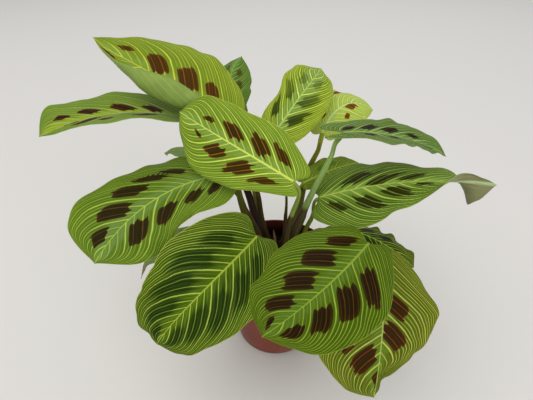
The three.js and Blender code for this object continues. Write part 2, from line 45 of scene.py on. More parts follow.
# ---------------------------------------------------------------- plant data
# Lengths in millimetres, angles in degrees. base: root of the midrib. yaw, pitch,
# roll: a + b t + c t^2 along the midrib. left, right: fold and curl of that half of
# the blade (a + b t), and width factors at t = 0.1, 0.3, 0.5, 0.7, 0.9.
LEAVES = {
    'center': dict(base=[15.7, -14.8, 222.7], length=136.6, width=86.1, lobe=13.4, seed=3, look='center', slot='leaf_green',
        yaw=[163.3, -17.4, -6.2], pitch=[27.4, -15.6, -0.1], roll=[-40.6, -5.6, -3.9], twist=[0, 0.8, 0.05],
        left=dict(fold=[-4.3, -0.4], curl=[-17.4, -0.2], w=[0.79, 0.84, 0.94, 1.06, 1.04]),
        right=dict(fold=[4.9, 7.2], curl=[-10.2, 4.6], w=[1.12, 0.95, 0.79, 0.87, 1.09])),
    'front_right': dict(base=[78.4, -68.4, 193.7], length=140.6, width=107.3, lobe=16.6, seed=4, look='front_right', slot='leaf_green',
        yaw=[234.3, -6.6, -6.1], pitch=[4.5, 2.7, -2.7], roll=[-9.9, 5.9, 4.0], twist=[0, 0.8, 0.05],
        left=dict(fold=[0.0, -1.3], curl=[-14.8, -1.1], w=[0.85, 0.85, 0.84, 0.87, 1.01]),
        right=dict(fold=[2.8, -5.9], curl=[-10.7, -3.5], w=[1.12, 1.06, 0.97, 0.96, 1.17])),
    'front_left': dict(base=[-19.6, -37.7, 176.2], length=141.8, width=100.6, lobe=13.5, seed=5, look='front_left', slot='leaf_dark_green',
        yaw=[241.4, -43.0, -8.3], pitch=[1.3, -54.1, -7.3], roll=[-28.8, -15.5, -8.3], twist=[0, 0.8, 0.05],
        left=dict(fold=[10.1, 3.5], curl=[-7.5, 2.2], w=[1.01, 0.98, 0.93, 0.90, 0.98]),
        right=dict(fold=[14.9, 9.8], curl=[-7.0, 4.7], w=[1.18, 1.06, 1.03, 0.99, 1.10])),
    'left': dict(base=[-49.1, 21.1, 210.2], length=160.7, width=112.6, lobe=7.2, seed=6, look='left', slot='leaf_green',
        yaw=[204.3, 43.6, 6.7], pitch=[8.0, -31.7, 4.0], roll=[-7.3, -7.8, -8.7], twist=[0, 0.8, 0.05],
        left=dict(fold=[-2.9, 0.1], curl=[-15.6, 0.0], w=[1.04, 0.74, 0.64, 0.85, 1.13]),
        right=dict(fold=[-1.7, 3.8], curl=[-14.1, 2.9], w=[1.02, 1.00, 0.83, 1.07, 1.24])),
    'upper_left': dict(base=[-50.8, 57.5, 251.7], length=175.0, width=118.0, lobe=10.5, seed=7, look='upper_left', slot='leaf_green',
        yaw=[142.0, 22.6, 11.6], pitch=[16.8, 10.2, 0.4], roll=[-30.0, 2.2, 1.1], twist=[0, 0.8, 0.05],
        left=dict(fold=[10.0, -20.0], curl=[225.0, -130.0], w=[0.98, 1.20, 1.15, 0.80, 0.55]),
        right=dict(fold=[4.1, -2.8], curl=[-21.2, -1.9], w=[1.07, 1.06, 1.04, 0.98, 0.94])),
    'low_right': dict(base=[104.2, -38.8, 159.5], length=144.3, width=112.2, lobe=6.9, seed=8, look='low_right', slot='leaf_green',
        yaw=[262.7, -3.7, -0.2], pitch=[-21.7, -48.8, -8.9], roll=[-13.7, -1.5, -4.5], twist=[0, 0.8, 0.05],
        left=dict(fold=[-1.6, 4.6], curl=[-14.7, 3.2], w=[0.90, 1.04, 0.95, 0.67, -0.26]),
        right=dict(fold=[0.7, 5.4], curl=[-12.2, 3.9], w=[0.98, 1.03, 1.10, 1.17, 1.14])),
    'right': dict(base=[43.7, 10.0, 188.5], length=163.3, width=99.6, lobe=14.0, seed=9, look='right', slot='leaf_green',
        yaw=[-11.9, -17.8, -16.7], pitch=[26.1, -10.6, -0.5], roll=[20.1, -16.6, -6.8], twist=[-110, 0.828, 0.031], rows=150,
        left=dict(fold=[-1.9, -2.6], curl=[-14.0, -1.4], w=[1.23, 0.94, 0.76, 0.73, 0.80]),
        right=dict(fold=[-1.9, 4.7], curl=[-15.0, 2.9], w=[1.28, 1.06, 0.83, 0.54, 0.31])),
    'upper_right': dict(base=[65.1, 30.2, 252.3], length=109.9, width=62.0, lobe=26.1, seed=10, look='upper_right', slot='leaf_dark_green',
        yaw=[6.9, -17.3, -5.9], pitch=[2.2, -30.3, 1.9], roll=[-1.8, 0.8, -1.6], twist=[0, 0.8, 0.05],
        left=dict(fold=[7.1, 8.8], curl=[-8.7, 5.6], w=[1.08, 1.00, 0.94, 0.99, 1.10]),
        right=dict(fold=[6.4, 8.3], curl=[-9.4, 5.3], w=[0.91, 1.03, 1.03, 1.00, 0.96])),
    'top': dict(base=[-4.6, 55.0, 234.5], length=119.7, width=76.6, lobe=8.1, seed=11, look='top', slot='leaf_young_green',
        yaw=[47.0, 12.6, 8.8], pitch=[41.0, -33.0, -2.1], roll=[14.1, 4.5, 3.5], twist=[0, 0.8, 0.05],
        left=dict(fold=[-3.0, 4.0], curl=[-15.9, 2.8], w=[0.99, 0.75, 0.68, 0.96, 1.21]),
        right=dict(fold=[-5.2, 1.8], curl=[-17.7, 1.0], w=[1.08, 0.92, 0.86, 0.94, 1.03])),
    'far_left': dict(base=[-83.6, 77.4, 243.1], length=162.0, width=90.1, lobe=7.2, seed=12, look='far_left', slot='leaf_green',
        yaw=[190.3, 22.4, 9.7], pitch=[23.6, -37.8, 0.1], roll=[2.2, -0.2, -4.2], twist=[0, 0.8, 0.05],
        left=dict(fold=[11.4, 3.1], curl=[-6.9, 2.0], w=[0.91, 0.94, 0.96, 0.99, 1.02]),
        right=dict(fold=[10.7, 3.2], curl=[-6.8, 2.1], w=[1.06, 1.05, 0.96, 0.97, 1.35])),
    'young': dict(base=[51.6, 77.3, 228.8], length=103.1, width=64.2, lobe=7.0, seed=13, look='young', slot='leaf_young_green',
        yaw=[61.3, -30.9, -15.6], pitch=[41.4, -70.6, -11.2], roll=[21.0, 2.0, 0.1], twist=[0, 0.8, 0.05],
        left=dict(fold=[-3.5, -0.2], curl=[-15.8, -0.1], w=[1.00, 1.03, 1.05, 1.02, 0.99]),
        right=dict(fold=[-7.9, -1.2], curl=[-19.7, -1.0], w=[1.00, 1.00, 0.99, 0.98, 0.95])),
    'back': dict(base=[-33.3, 80.8, 236.9], length=105.5, width=60.8, lobe=6.9, seed=14, look='back', slot='leaf_dark_green',
        yaw=[135.2, -66.0, -14.8], pitch=[47.9, -35.6, 4.3], roll=[17.3, -8.3, -7.2], twist=[0, 0.8, 0.05],
        left=dict(fold=[-11.7, -3.6], curl=[-22.4, -2.4], w=[1.00, 1.00, 1.00, 0.99, 0.98]),
        right=dict(fold=[-14.8, 0.4], curl=[-25.0, 0.3], w=[0.92, 0.86, 0.92, 1.01, 1.09])),
    'small_right': dict(base=[60.3, 18.2, 144.7], length=99.8, width=60.2, lobe=7.0, seed=15, look='small_right', slot='leaf_dark_green',
        yaw=[-28.6, -12.2, -6.4], pitch=[14.4, -36.9, -2.0], roll=[-7.6, 5.2, 4.4], twist=[0, 0.8, 0.05],
        left=dict(fold=[-8.8, 2.5], curl=[-20.0, 1.7], w=[0.98, 0.98, 1.00, 1.02, 1.05]),
        right=dict(fold=[-6.1, -0.0], curl=[-18.0, -0.0], w=[1.00, 1.00, 1.00, 1.00, 1.00])),
    'inner_right': dict(base=[29.7, 40.5, 187.2], length=91.7, width=38.5, lobe=6.8, seed=16, look='inner_right', slot='leaf_young_green',
        yaw=[34.8, 5.0, 0.6], pitch=[8.0, -21.5, -1.0], roll=[25.6, 2.0, 1.0], twist=[0, 0.8, 0.05],
        left=dict(fold=[-4.9, 0.8], curl=[-17.2, 0.5], w=[1.00, 1.00, 1.00, 1.00, 1.00]),
        right=dict(fold=[-8.7, -0.2], curl=[-19.5, -0.1], w=[1.00, 1.00, 1.00, 1.00, 1.00])),
    'inner_left': dict(base=[-67.3, 48.0, 196.8], length=82.5, width=40.3, lobe=7.0, seed=17, look='inner_left', slot='leaf_dark_green',
        yaw=[126.5, 32.1, 11.2], pitch=[21.3, -35.5, -9.5], roll=[11.1, -3.0, -2.9], twist=[0, 0.8, 0.05],
        left=dict(fold=[3.4, 2.9], curl=[-11.4, 1.9], w=[0.99, 0.96, 0.96, 0.98, 1.00]),
        right=dict(fold=[1.3, 4.4], curl=[-12.5, 2.9], w=[1.00, 1.00, 1.00, 1.01, 1.02])),
    'low_left': dict(base=[-57.9, 0.8, 155.5], length=103.4, width=51.0, lobe=7.0, seed=18, look='low_left', slot='leaf_dark_green',
        yaw=[185.6, 16.5, 7.1], pitch=[-2.0, -37.7, -6.9], roll=[4.8, -0.2, -0.6], twist=[0, 0.8, 0.05],
        left=dict(fold=[-1.8, 2.0], curl=[-15.0, 1.3], w=[1.00, 0.99, 0.98, 0.75, 0.30]),
        right=dict(fold=[-2.6, 2.1], curl=[-15.4, 1.4], w=[1.00, 1.00, 1.00, 0.75, 0.30])),
}

# Blotches between the side veins: (side, place along the vein pattern, place across
# the half blade, size). The side veins are spaced from them.
BLOTCHES = {
    'center': [('L', -0.017, 0.55, 0.75), ('L', 0.224, 0.42, 1.00), ('L', 0.481, 0.33, 0.85), ('L', 0.695, 0.23, 0.20), ('R', 0.005, 0.45, 0.80), ('R', 0.211, 0.33, 1.00), ('R', 0.431, 0.33, 1.00), ('R', 0.650, 0.30, 0.35)],
    'front_right': [('L', 0.113, 0.55, 1.25), ('L', 0.364, 0.42, 1.30), ('L', 0.583, 0.38, 1.10), ('L', 0.742, 0.35, 0.70), ('R', -0.035, 0.47, 0.85), ('R', 0.214, 0.40, 1.10), ('R', 0.472, 0.35, 1.15), ('R', 0.690, 0.30, 1.00), ('R', 0.835, 0.23, 0.35)],
    'front_left': [('L', 0.020, 0.50, 0.70), ('L', 0.170, 0.50, 1.00), ('L', 0.360, 0.47, 1.10), ('L', 0.540, 0.42, 1.10), ('L', 0.720, 0.36, 0.80), ('R', 0.060, 0.50, 0.80), ('R', 0.250, 0.50, 1.10), ('R', 0.450, 0.45, 1.10), ('R', 0.630, 0.40, 1.00), ('R', 0.800, 0.32, 0.60)],
    'left': [('L', 0.004, 0.42, 0.78), ('L', 0.125, 0.47, 0.93), ('L', 0.334, 0.50, 1.00), ('L', 0.621, 0.33, 1.00), ('R', 0.145, 0.45, 0.78), ('R', 0.213, 0.55, 1.04), ('R', 0.374, 0.50, 1.00), ('R', 0.610, 0.30, 1.00), ('R', 0.785, 0.23, 0.70)],
    'upper_left': [('L', 0.170, 0.40, 0.80), ('L', 0.370, 0.38, 1.00), ('L', 0.580, 0.36, 0.90), ('L', 0.780, 0.30, 0.50), ('R', 0.093, 0.38, 0.70), ('R', 0.298, 0.28, 1.10), ('R', 0.537, 0.25, 1.00), ('R', 0.702, 0.35, 0.45)],
    'low_right': [('L', 0.320, 0.23, 1.00), ('L', 0.493, 0.25, 1.30), ('R', 0.100, 0.42, 0.80), ('R', 0.320, 0.42, 1.00), ('R', 0.471, 0.53, 0.50), ('R', 0.627, 0.28, 1.20), ('R', 0.850, 0.00, 0.60)],
    'right': [('L', 0.114, 0.40, 0.83), ('L', 0.350, 0.15, 0.92), ('L', 0.475, 0.23, 0.74), ('R', -0.015, 0.45, 0.55), ('R', 0.165, 0.45, 0.74), ('R', 0.400, 0.30, 0.83), ('R', 0.582, 0.17, 0.37)],
    'upper_right': [('L', -0.037, 0.38, 0.60), ('L', 0.141, 0.33, 0.90), ('L', 0.340, 0.30, 0.90), ('L', 0.560, 0.30, 0.60), ('R', 0.112, 0.35, 0.50), ('R', 0.368, 0.28, 0.50), ('R', 0.700, 0.30, 0.50)],
    'top': [('L', 0.050, 0.60, 0.70), ('L', 0.314, 0.53, 0.80), ('L', 0.618, 0.28, 0.50), ('R', 0.132, 0.35, 0.80), ('R', 0.371, 0.33, 0.90), ('R', 0.638, 0.28, 0.50)],
    'far_left': [('L', 0.220, 0.42, 0.90), ('L', 0.390, 0.60, 0.40), ('L', 0.600, 0.40, 1.20), ('L', 0.759, 0.12, 0.50), ('R', 0.252, 0.17, 0.70), ('R', 0.405, 0.23, 0.90), ('R', 0.598, 0.28, 0.80), ('R', 0.712, 0.35, 0.50)],
    'young': [('L', 0.120, 0.30, 0.40), ('L', 0.289, 0.75, 0.50), ('R', 0.254, 0.42, 0.40), ('R', 0.557, 0.10, 0.90)],
    'back': [('L', 0.220, 0.40, 0.70), ('L', 0.480, 0.36, 0.70), ('L', 0.697, 0.25, 0.30), ('R', 0.200, 0.42, 0.80), ('R', 0.420, 0.38, 0.80), ('R', 0.620, 0.34, 0.60)],
    'small_right': [('L', 0.220, 0.42, 1.00), ('L', 0.460, 0.40, 0.90), ('R', 0.240, 0.42, 1.00), ('R', 0.480, 0.38, 0.80)],
    'inner_right': [('L', 0.200, 0.40, 0.80), ('L', 0.420, 0.40, 0.80), ('R', 0.250, 0.40, 0.80), ('R', 0.480, 0.36, 0.70)],
    'low_left': [('L', 0.120, 0.45, 0.80), ('L', 0.340, 0.42, 0.90), ('L', 0.540, 0.38, 0.80), ('R', 0.200, 0.45, 0.80), ('R', 0.420, 0.40, 0.90)],
}

# Notches and folds of a margin: (side, t, width in t, how far in, how far up in mm)
DENTS = {
    'top': [('L', 0.955, 0.03, 0.14, -1.0), ('L', 0.87, 0.035, -0.06, 1.0), ('R', 0.95, 0.03, 0.12, -1.0), ('R', 0.6, 0.06, 0.03, 1.0)],
    'front_left': [('R', 0.6, 0.02, 0.02, -0.8), ('R', 0.74, 0.022, 0.03, -1.2), ('R', 0.87, 0.03, 0.035, -1.5), ('R', 0.955, 0.018, 0.16, -2.0), ('L', 0.93, 0.03, -0.05, 1.0)],
    'low_right': [('L', 0.8, 0.05, 0.1, 7.0), ('L', 0.55, 0.035, 0.035, 1.0), ('L', 0.4, 0.03, -0.03, -1.0), ('L', 0.68, 0.03, 0.05, -1.5), ('R', 0.86, 0.04, 0.06, 2.0)],
    'left': [('L', 0.35, 0.05, 0.03, 1.5), ('L', 0.62, 0.06, -0.03, -1.5), ('L', 0.82, 0.05, 0.04, 2.0), ('R', 0.9, 0.04, -0.04, 1.0)],
    'upper_right': [('R', 0.62, 0.04, 0.05, 1.5), ('R', 0.8, 0.04, -0.06, -1.5), ('R', 0.9, 0.03, 0.08, 1.0), ('L', 0.45, 0.06, 0.03, 1.0)],
    'small_right': [('L', 0.45, 0.05, 0.06, 2.0), ('L', 0.7, 0.04, -0.06, -1.5), ('L', 0.85, 0.04, 0.1, 1.5)],
    'front_right': [('R', 0.9, 0.05, 0.05, -1.5), ('L', 0.93, 0.03, 0.05, 1.5)],
    'far_left': [('R', 0.86, 0.06, -0.12, 1.0)],
    'young': [('R', 0.75, 0.05, 0.06, 1.5), ('L', 0.8, 0.05, 0.04, -1.0)],
    'right': [('R', 0.5, 0.05, 0.03, 1.0), ('R', 0.72, 0.05, -0.05, 1.0), ('L', 0.9, 0.04, 0.12, 1.5), ('R', 0.93, 0.03, 0.1, -1.5)],
}

STEMS = {
    'upper_left': dict(rLow=3.1, rTop=2.4, sheath=0.45, seed=1, slot='stem_red_brown', green=(104, 100, 21), red=(66, 46, 14), red2=(36, 20, 8), joint=(80, 84, 21), blush=0.7, olive=0.75, tint=0.45,
        points=[(-4.5, 25.5, 100.0), (-6.9, 26.3, 114.3), (-11.2, 29.6, 126.8), (-15.2, 34.7, 138.8), (-17.5, 38.3, 151.8), (-19.0, 40.5, 165.1), (-21.4, 42.8, 178.4), (-24.6, 45.2, 191.5), (-28.3, 47.5, 204.4), (-32.6, 49.7, 217.2), (-38.0, 51.6, 229.6), (-44.4, 53.6, 241.5), (-51.9, 59.0, 251.4)]),
    'far_left': dict(rLow=4.2, rTop=3.5, sheath=0.50, seed=2, slot='stem_red_brown', green=(74, 62, 16), red=(46, 22, 12), red2=(20, 8, 5), joint=(60, 52, 20), blush=0.9, olive=0.2, tint=0.5,
        points=[(-14.0, 15.0, 100.0), (-14.7, 17.7, 115.4), (-16.7, 22.7, 129.1), (-20.9, 28.2, 142.1), (-25.5, 34.5, 154.5), (-29.4, 41.6, 166.9), (-34.4, 47.9, 179.2), (-40.3, 53.6, 191.5), (-47.0, 59.1, 203.4), (-54.9, 64.9, 214.5), (-64.4, 71.1, 223.9), (-74.7, 76.4, 232.9), (-85.4, 77.0, 242.9)]),
    'back': dict(rLow=2.5, rTop=1.8, sheath=0.35, seed=3, slot='stem_green', green=(120, 128, 22), red=(96, 92, 19), red2=(64, 54, 14), joint=(110, 120, 26), blush=0.3, olive=0.9, tint=0.35,
        points=[(-8.6, 30.8, 100.0), (-10.6, 32.7, 113.0), (-14.1, 36.9, 124.2), (-17.5, 42.1, 135.0), (-20.7, 47.8, 145.7), (-23.5, 53.2, 156.5), (-26.1, 57.4, 168.0), (-28.4, 60.8, 179.8), (-30.3, 64.2, 191.6), (-31.4, 68.1, 203.4), (-31.2, 72.7, 215.0), (-31.2, 77.4, 226.5), (-34.8, 81.8, 237.5)]),
    'left': dict(rLow=4.8, rTop=4.0, sheath=0.60, seed=4, slot='stem_red_brown', green=(100, 106, 12), red=(60, 34, 13), red2=(34, 16, 7), joint=(90, 100, 24), blush=0.7, olive=0.95, tint=0.6,
        points=[(-10.0, 4.0, 100.0), (-11.2, 4.8, 110.8), (-14.0, 6.8, 120.2), (-17.4, 9.1, 129.3), (-21.0, 11.2, 138.4), (-25.1, 12.9, 147.4), (-29.5, 14.2, 156.3), (-33.5, 15.2, 165.5), (-36.3, 15.9, 175.0), (-38.6, 17.2, 184.7), (-40.6, 20.2, 194.0), (-43.7, 22.7, 203.1), (-50.7, 20.5, 209.5)]),
    'inner_left': dict(rLow=2.3, rTop=1.7, sheath=0.40, seed=5, slot='stem_red_brown', green=(84, 76, 20), red=(60, 34, 15), red2=(34, 16, 8), joint=(80, 84, 24), blush=0.8, olive=0.5, tint=0.4,
        points=[(-21.0, 22.0, 100.0), (-21.6, 24.8, 110.1), (-23.0, 31.1, 117.5), (-25.4, 37.0, 124.9), (-28.8, 41.4, 132.9), (-32.9, 44.4, 141.3), (-37.0, 46.5, 149.9), (-40.7, 47.5, 158.9), (-44.9, 47.5, 167.8), (-50.5, 46.4, 175.6), (-57.3, 44.6, 182.5), (-63.7, 44.5, 189.8), (-68.5, 49.4, 196.6)]),
    'low_left': dict(rLow=2.2, rTop=1.4, sheath=0.40, seed=6, slot='stem_red_brown', green=(108, 116, 21), red=(72, 42, 15), red2=(40, 20, 8), joint=(86, 100, 24), blush=0.5, olive=0.8, tint=0.4,
        points=[(-23.0, -2.0, 100.0), (-23.1, -1.9, 106.9), (-23.5, -1.3, 112.9), (-24.1, -0.4, 118.9), (-25.1, 0.5, 124.7), (-26.8, 1.4, 130.5), (-29.7, 2.1, 135.7), (-33.5, 2.8, 140.3), (-38.1, 3.3, 144.2), (-43.3, 3.0, 147.3), (-48.9, 2.0, 149.2), (-54.0, 1.2, 152.2), (-59.4, 0.6, 154.6)]),
    'front_left': dict(rLow=2.6, rTop=1.7, sheath=0.40, seed=7, slot='stem_red_brown', green=(108, 116, 21), red=(72, 42, 15), red2=(40, 20, 8), joint=(86, 100, 24), blush=0.5, olive=0.8, tint=0.4,
        points=[(-6.0, -6.0, 100.0), (-6.0, -6.3, 108.1), (-5.9, -7.4, 115.2), (-5.9, -8.8, 122.3), (-6.0, -10.5, 129.3), (-6.6, -12.7, 136.1), (-7.7, -15.4, 142.7), (-9.4, -18.7, 148.9), (-11.4, -22.3, 154.8), (-13.5, -25.9, 160.6), (-15.3, -29.6, 166.5), (-17.4, -33.6, 172.1), (-20.7, -38.9, 175.5)]),
    'center': dict(rLow=3.6, rTop=2.6, sheath=0.50, seed=8, slot='stem_red_brown', tint=0.57, green=(156, 178, 81), red=(82, 42, 28), red2=(46, 20, 17), joint=(130, 144, 56), blush=0.05, olive=0.3,
        points=[(8.0, 6.0, 100.0), (8.3, 5.4, 111.6), (9.0, 4.2, 122.2), (9.9, 2.9, 132.8), (11.1, 2.0, 143.5), (12.5, 1.7, 154.1), (14.2, 1.4, 164.7), (16.3, 0.2, 175.1), (18.6, -2.0, 185.3), (20.3, -5.7, 195.2), (21.1, -10.8, 204.6), (20.0, -15.1, 214.3), (14.2, -13.7, 222.8)]),
    'top': dict(rLow=2.6, rTop=1.4, sheath=0.36, seed=9, slot='stem_red_brown', tint=0.37, green=(88, 82, 26), red=(90, 70, 22), red2=(54, 36, 14), joint=(90, 96, 27), blush=0.5, olive=0.7,
        points=[(3.2, 26.0, 100.0), (6.1, 24.8, 112.5), (10.0, 25.1, 123.7), (11.0, 29.0, 135.0), (11.4, 33.5, 146.1), (12.1, 37.5, 157.4), (12.0, 41.1, 168.9), (10.8, 44.4, 180.4), (8.8, 47.3, 191.9), (5.5, 49.6, 203.1), (-0.0, 50.9, 213.7), (-5.5, 52.1, 224.3), (-3.6, 56.5, 234.9)]),
    'young': dict(rLow=3.6, rTop=3.6, sheath=0.50, seed=10, slot='stem_red_brown', green=(140, 144, 33), red=(84, 66, 20), red2=(52, 38, 13), joint=(150, 160, 36), blush=0.4, olive=0.9, tint=0.5,
        points=[(20.0, 35.0, 100.0), (21.6, 39.3, 112.3), (24.4, 46.8, 121.8), (27.2, 54.0, 131.6), (29.7, 60.6, 141.7), (31.6, 66.8, 152.4), (34.2, 73.4, 162.6), (37.7, 80.2, 172.3), (41.7, 84.4, 183.2), (45.7, 83.6, 194.8), (48.9, 79.9, 206.3), (50.0, 75.8, 217.9), (52.2, 79.0, 229.3)]),
    'inner_right': dict(rLow=2.3, rTop=1.7, sheath=0.35, seed=11, slot='stem_green', green=(112, 122, 28), red=(84, 64, 21), red2=(52, 34, 13), joint=(120, 130, 33), blush=0.4, olive=0.8, tint=0.35,
        points=[(10.0, 30.0, 100.0), (10.9, 30.0, 108.6), (13.6, 30.4, 115.8), (16.3, 31.8, 122.9), (18.3, 34.2, 129.9), (20.2, 36.5, 137.1), (22.0, 37.8, 144.5), (23.7, 38.3, 152.0), (25.2, 38.3, 159.6), (25.8, 38.0, 167.3), (25.0, 37.2, 174.9), (26.0, 37.9, 182.4), (30.9, 41.8, 186.6)]),
    'upper_right': dict(rLow=5.5, rTop=3.3, sheath=0.40, seed=12, slot='stem_green', tint=0.455, green=(154, 186, 98), red=(100, 72, 40), red2=(56, 34, 25), joint=(112, 142, 52), blush=0.1, olive=0.3,
        points=[(18.0, 14.0, 100.0), (17.9, 14.1, 114.5), (18.4, 14.4, 128.1), (21.2, 14.8, 141.4), (25.6, 15.1, 154.3), (29.7, 15.1, 167.2), (34.0, 15.8, 180.1), (39.1, 17.9, 192.5), (44.6, 21.0, 204.6), (50.6, 25.0, 216.2), (56.2, 29.0, 227.9), (59.0, 30.1, 241.0), (66.7, 30.4, 251.5)]),
    'right': dict(rLow=3.0, rTop=2.5, sheath=0.40, seed=13, slot='stem_green', green=(118, 134, 30), red=(84, 68, 19), red2=(50, 36, 12), joint=(110, 140, 36), blush=0.3, olive=0.8, tint=0.4,
        points=[(26.0, 7.0, 100.0), (26.2, 7.2, 108.6), (27.1, 7.9, 116.2), (28.1, 8.7, 123.7), (29.4, 9.5, 131.2), (30.8, 10.2, 138.7), (32.7, 10.7, 146.1), (35.3, 10.9, 153.3), (38.0, 10.9, 160.5), (39.5, 11.0, 168.0), (39.1, 11.1, 175.7), (40.3, 10.8, 183.1), (45.6, 10.0, 188.4)]),
    'small_right': dict(rLow=2.3, rTop=1.5, sheath=0.40, seed=14, slot='stem_red_brown', green=(100, 92, 24), red=(84, 44, 19), red2=(50, 24, 12), joint=(90, 96, 27), blush=0.8, olive=0.4, tint=0.4,
        points=[(27.0, 19.0, 100.0), (27.1, 19.0, 106.0), (28.0, 19.2, 111.1), (29.5, 19.6, 115.9), (31.5, 19.9, 120.6), (34.2, 20.3, 125.0), (37.4, 20.6, 129.0), (40.9, 20.9, 132.7), (44.8, 21.1, 136.0), (49.5, 21.3, 137.8), (54.6, 20.9, 138.4), (58.2, 19.5, 141.5), (61.8, 17.2, 144.2)]),
    'front_right': dict(rLow=2.9, rTop=2.2, sheath=0.40, seed=15, slot='stem_green', green=(108, 116, 21), red=(72, 42, 15), red2=(40, 20, 8), joint=(86, 100, 24), blush=0.5, olive=0.8, tint=0.4,
        points=[(15.0, -4.0, 100.0), (16.5, -5.4, 112.4), (19.7, -8.4, 123.3), (23.6, -12.1, 133.7), (28.2, -16.4, 143.6), (33.5, -21.8, 152.5), (39.3, -28.0, 160.6), (45.8, -34.6, 167.8), (53.1, -41.3, 174.1), (61.6, -47.7, 178.9), (70.9, -53.9, 182.3), (79.1, -61.0, 186.5), (77.3, -69.7, 193.0)]),
    'low_right': dict(rLow=2.7, rTop=2.1, sheath=0.40, seed=16, slot='stem_green', green=(108, 116, 21), red=(72, 42, 15), red2=(40, 20, 8), joint=(86, 100, 24), blush=0.5, olive=0.8, tint=0.4,
        points=[(27.0, -3.0, 100.0), (27.7, -5.9, 110.5), (29.6, -12.2, 118.2), (33.4, -18.9, 124.9), (39.5, -24.8, 130.4), (47.0, -30.1, 134.7), (55.3, -34.6, 138.6), (64.2, -37.8, 142.2), (73.7, -38.4, 145.7), (83.3, -36.4, 148.4), (92.7, -33.5, 150.9), (101.9, -32.1, 154.4), (103.9, -39.9, 158.1)]),
}

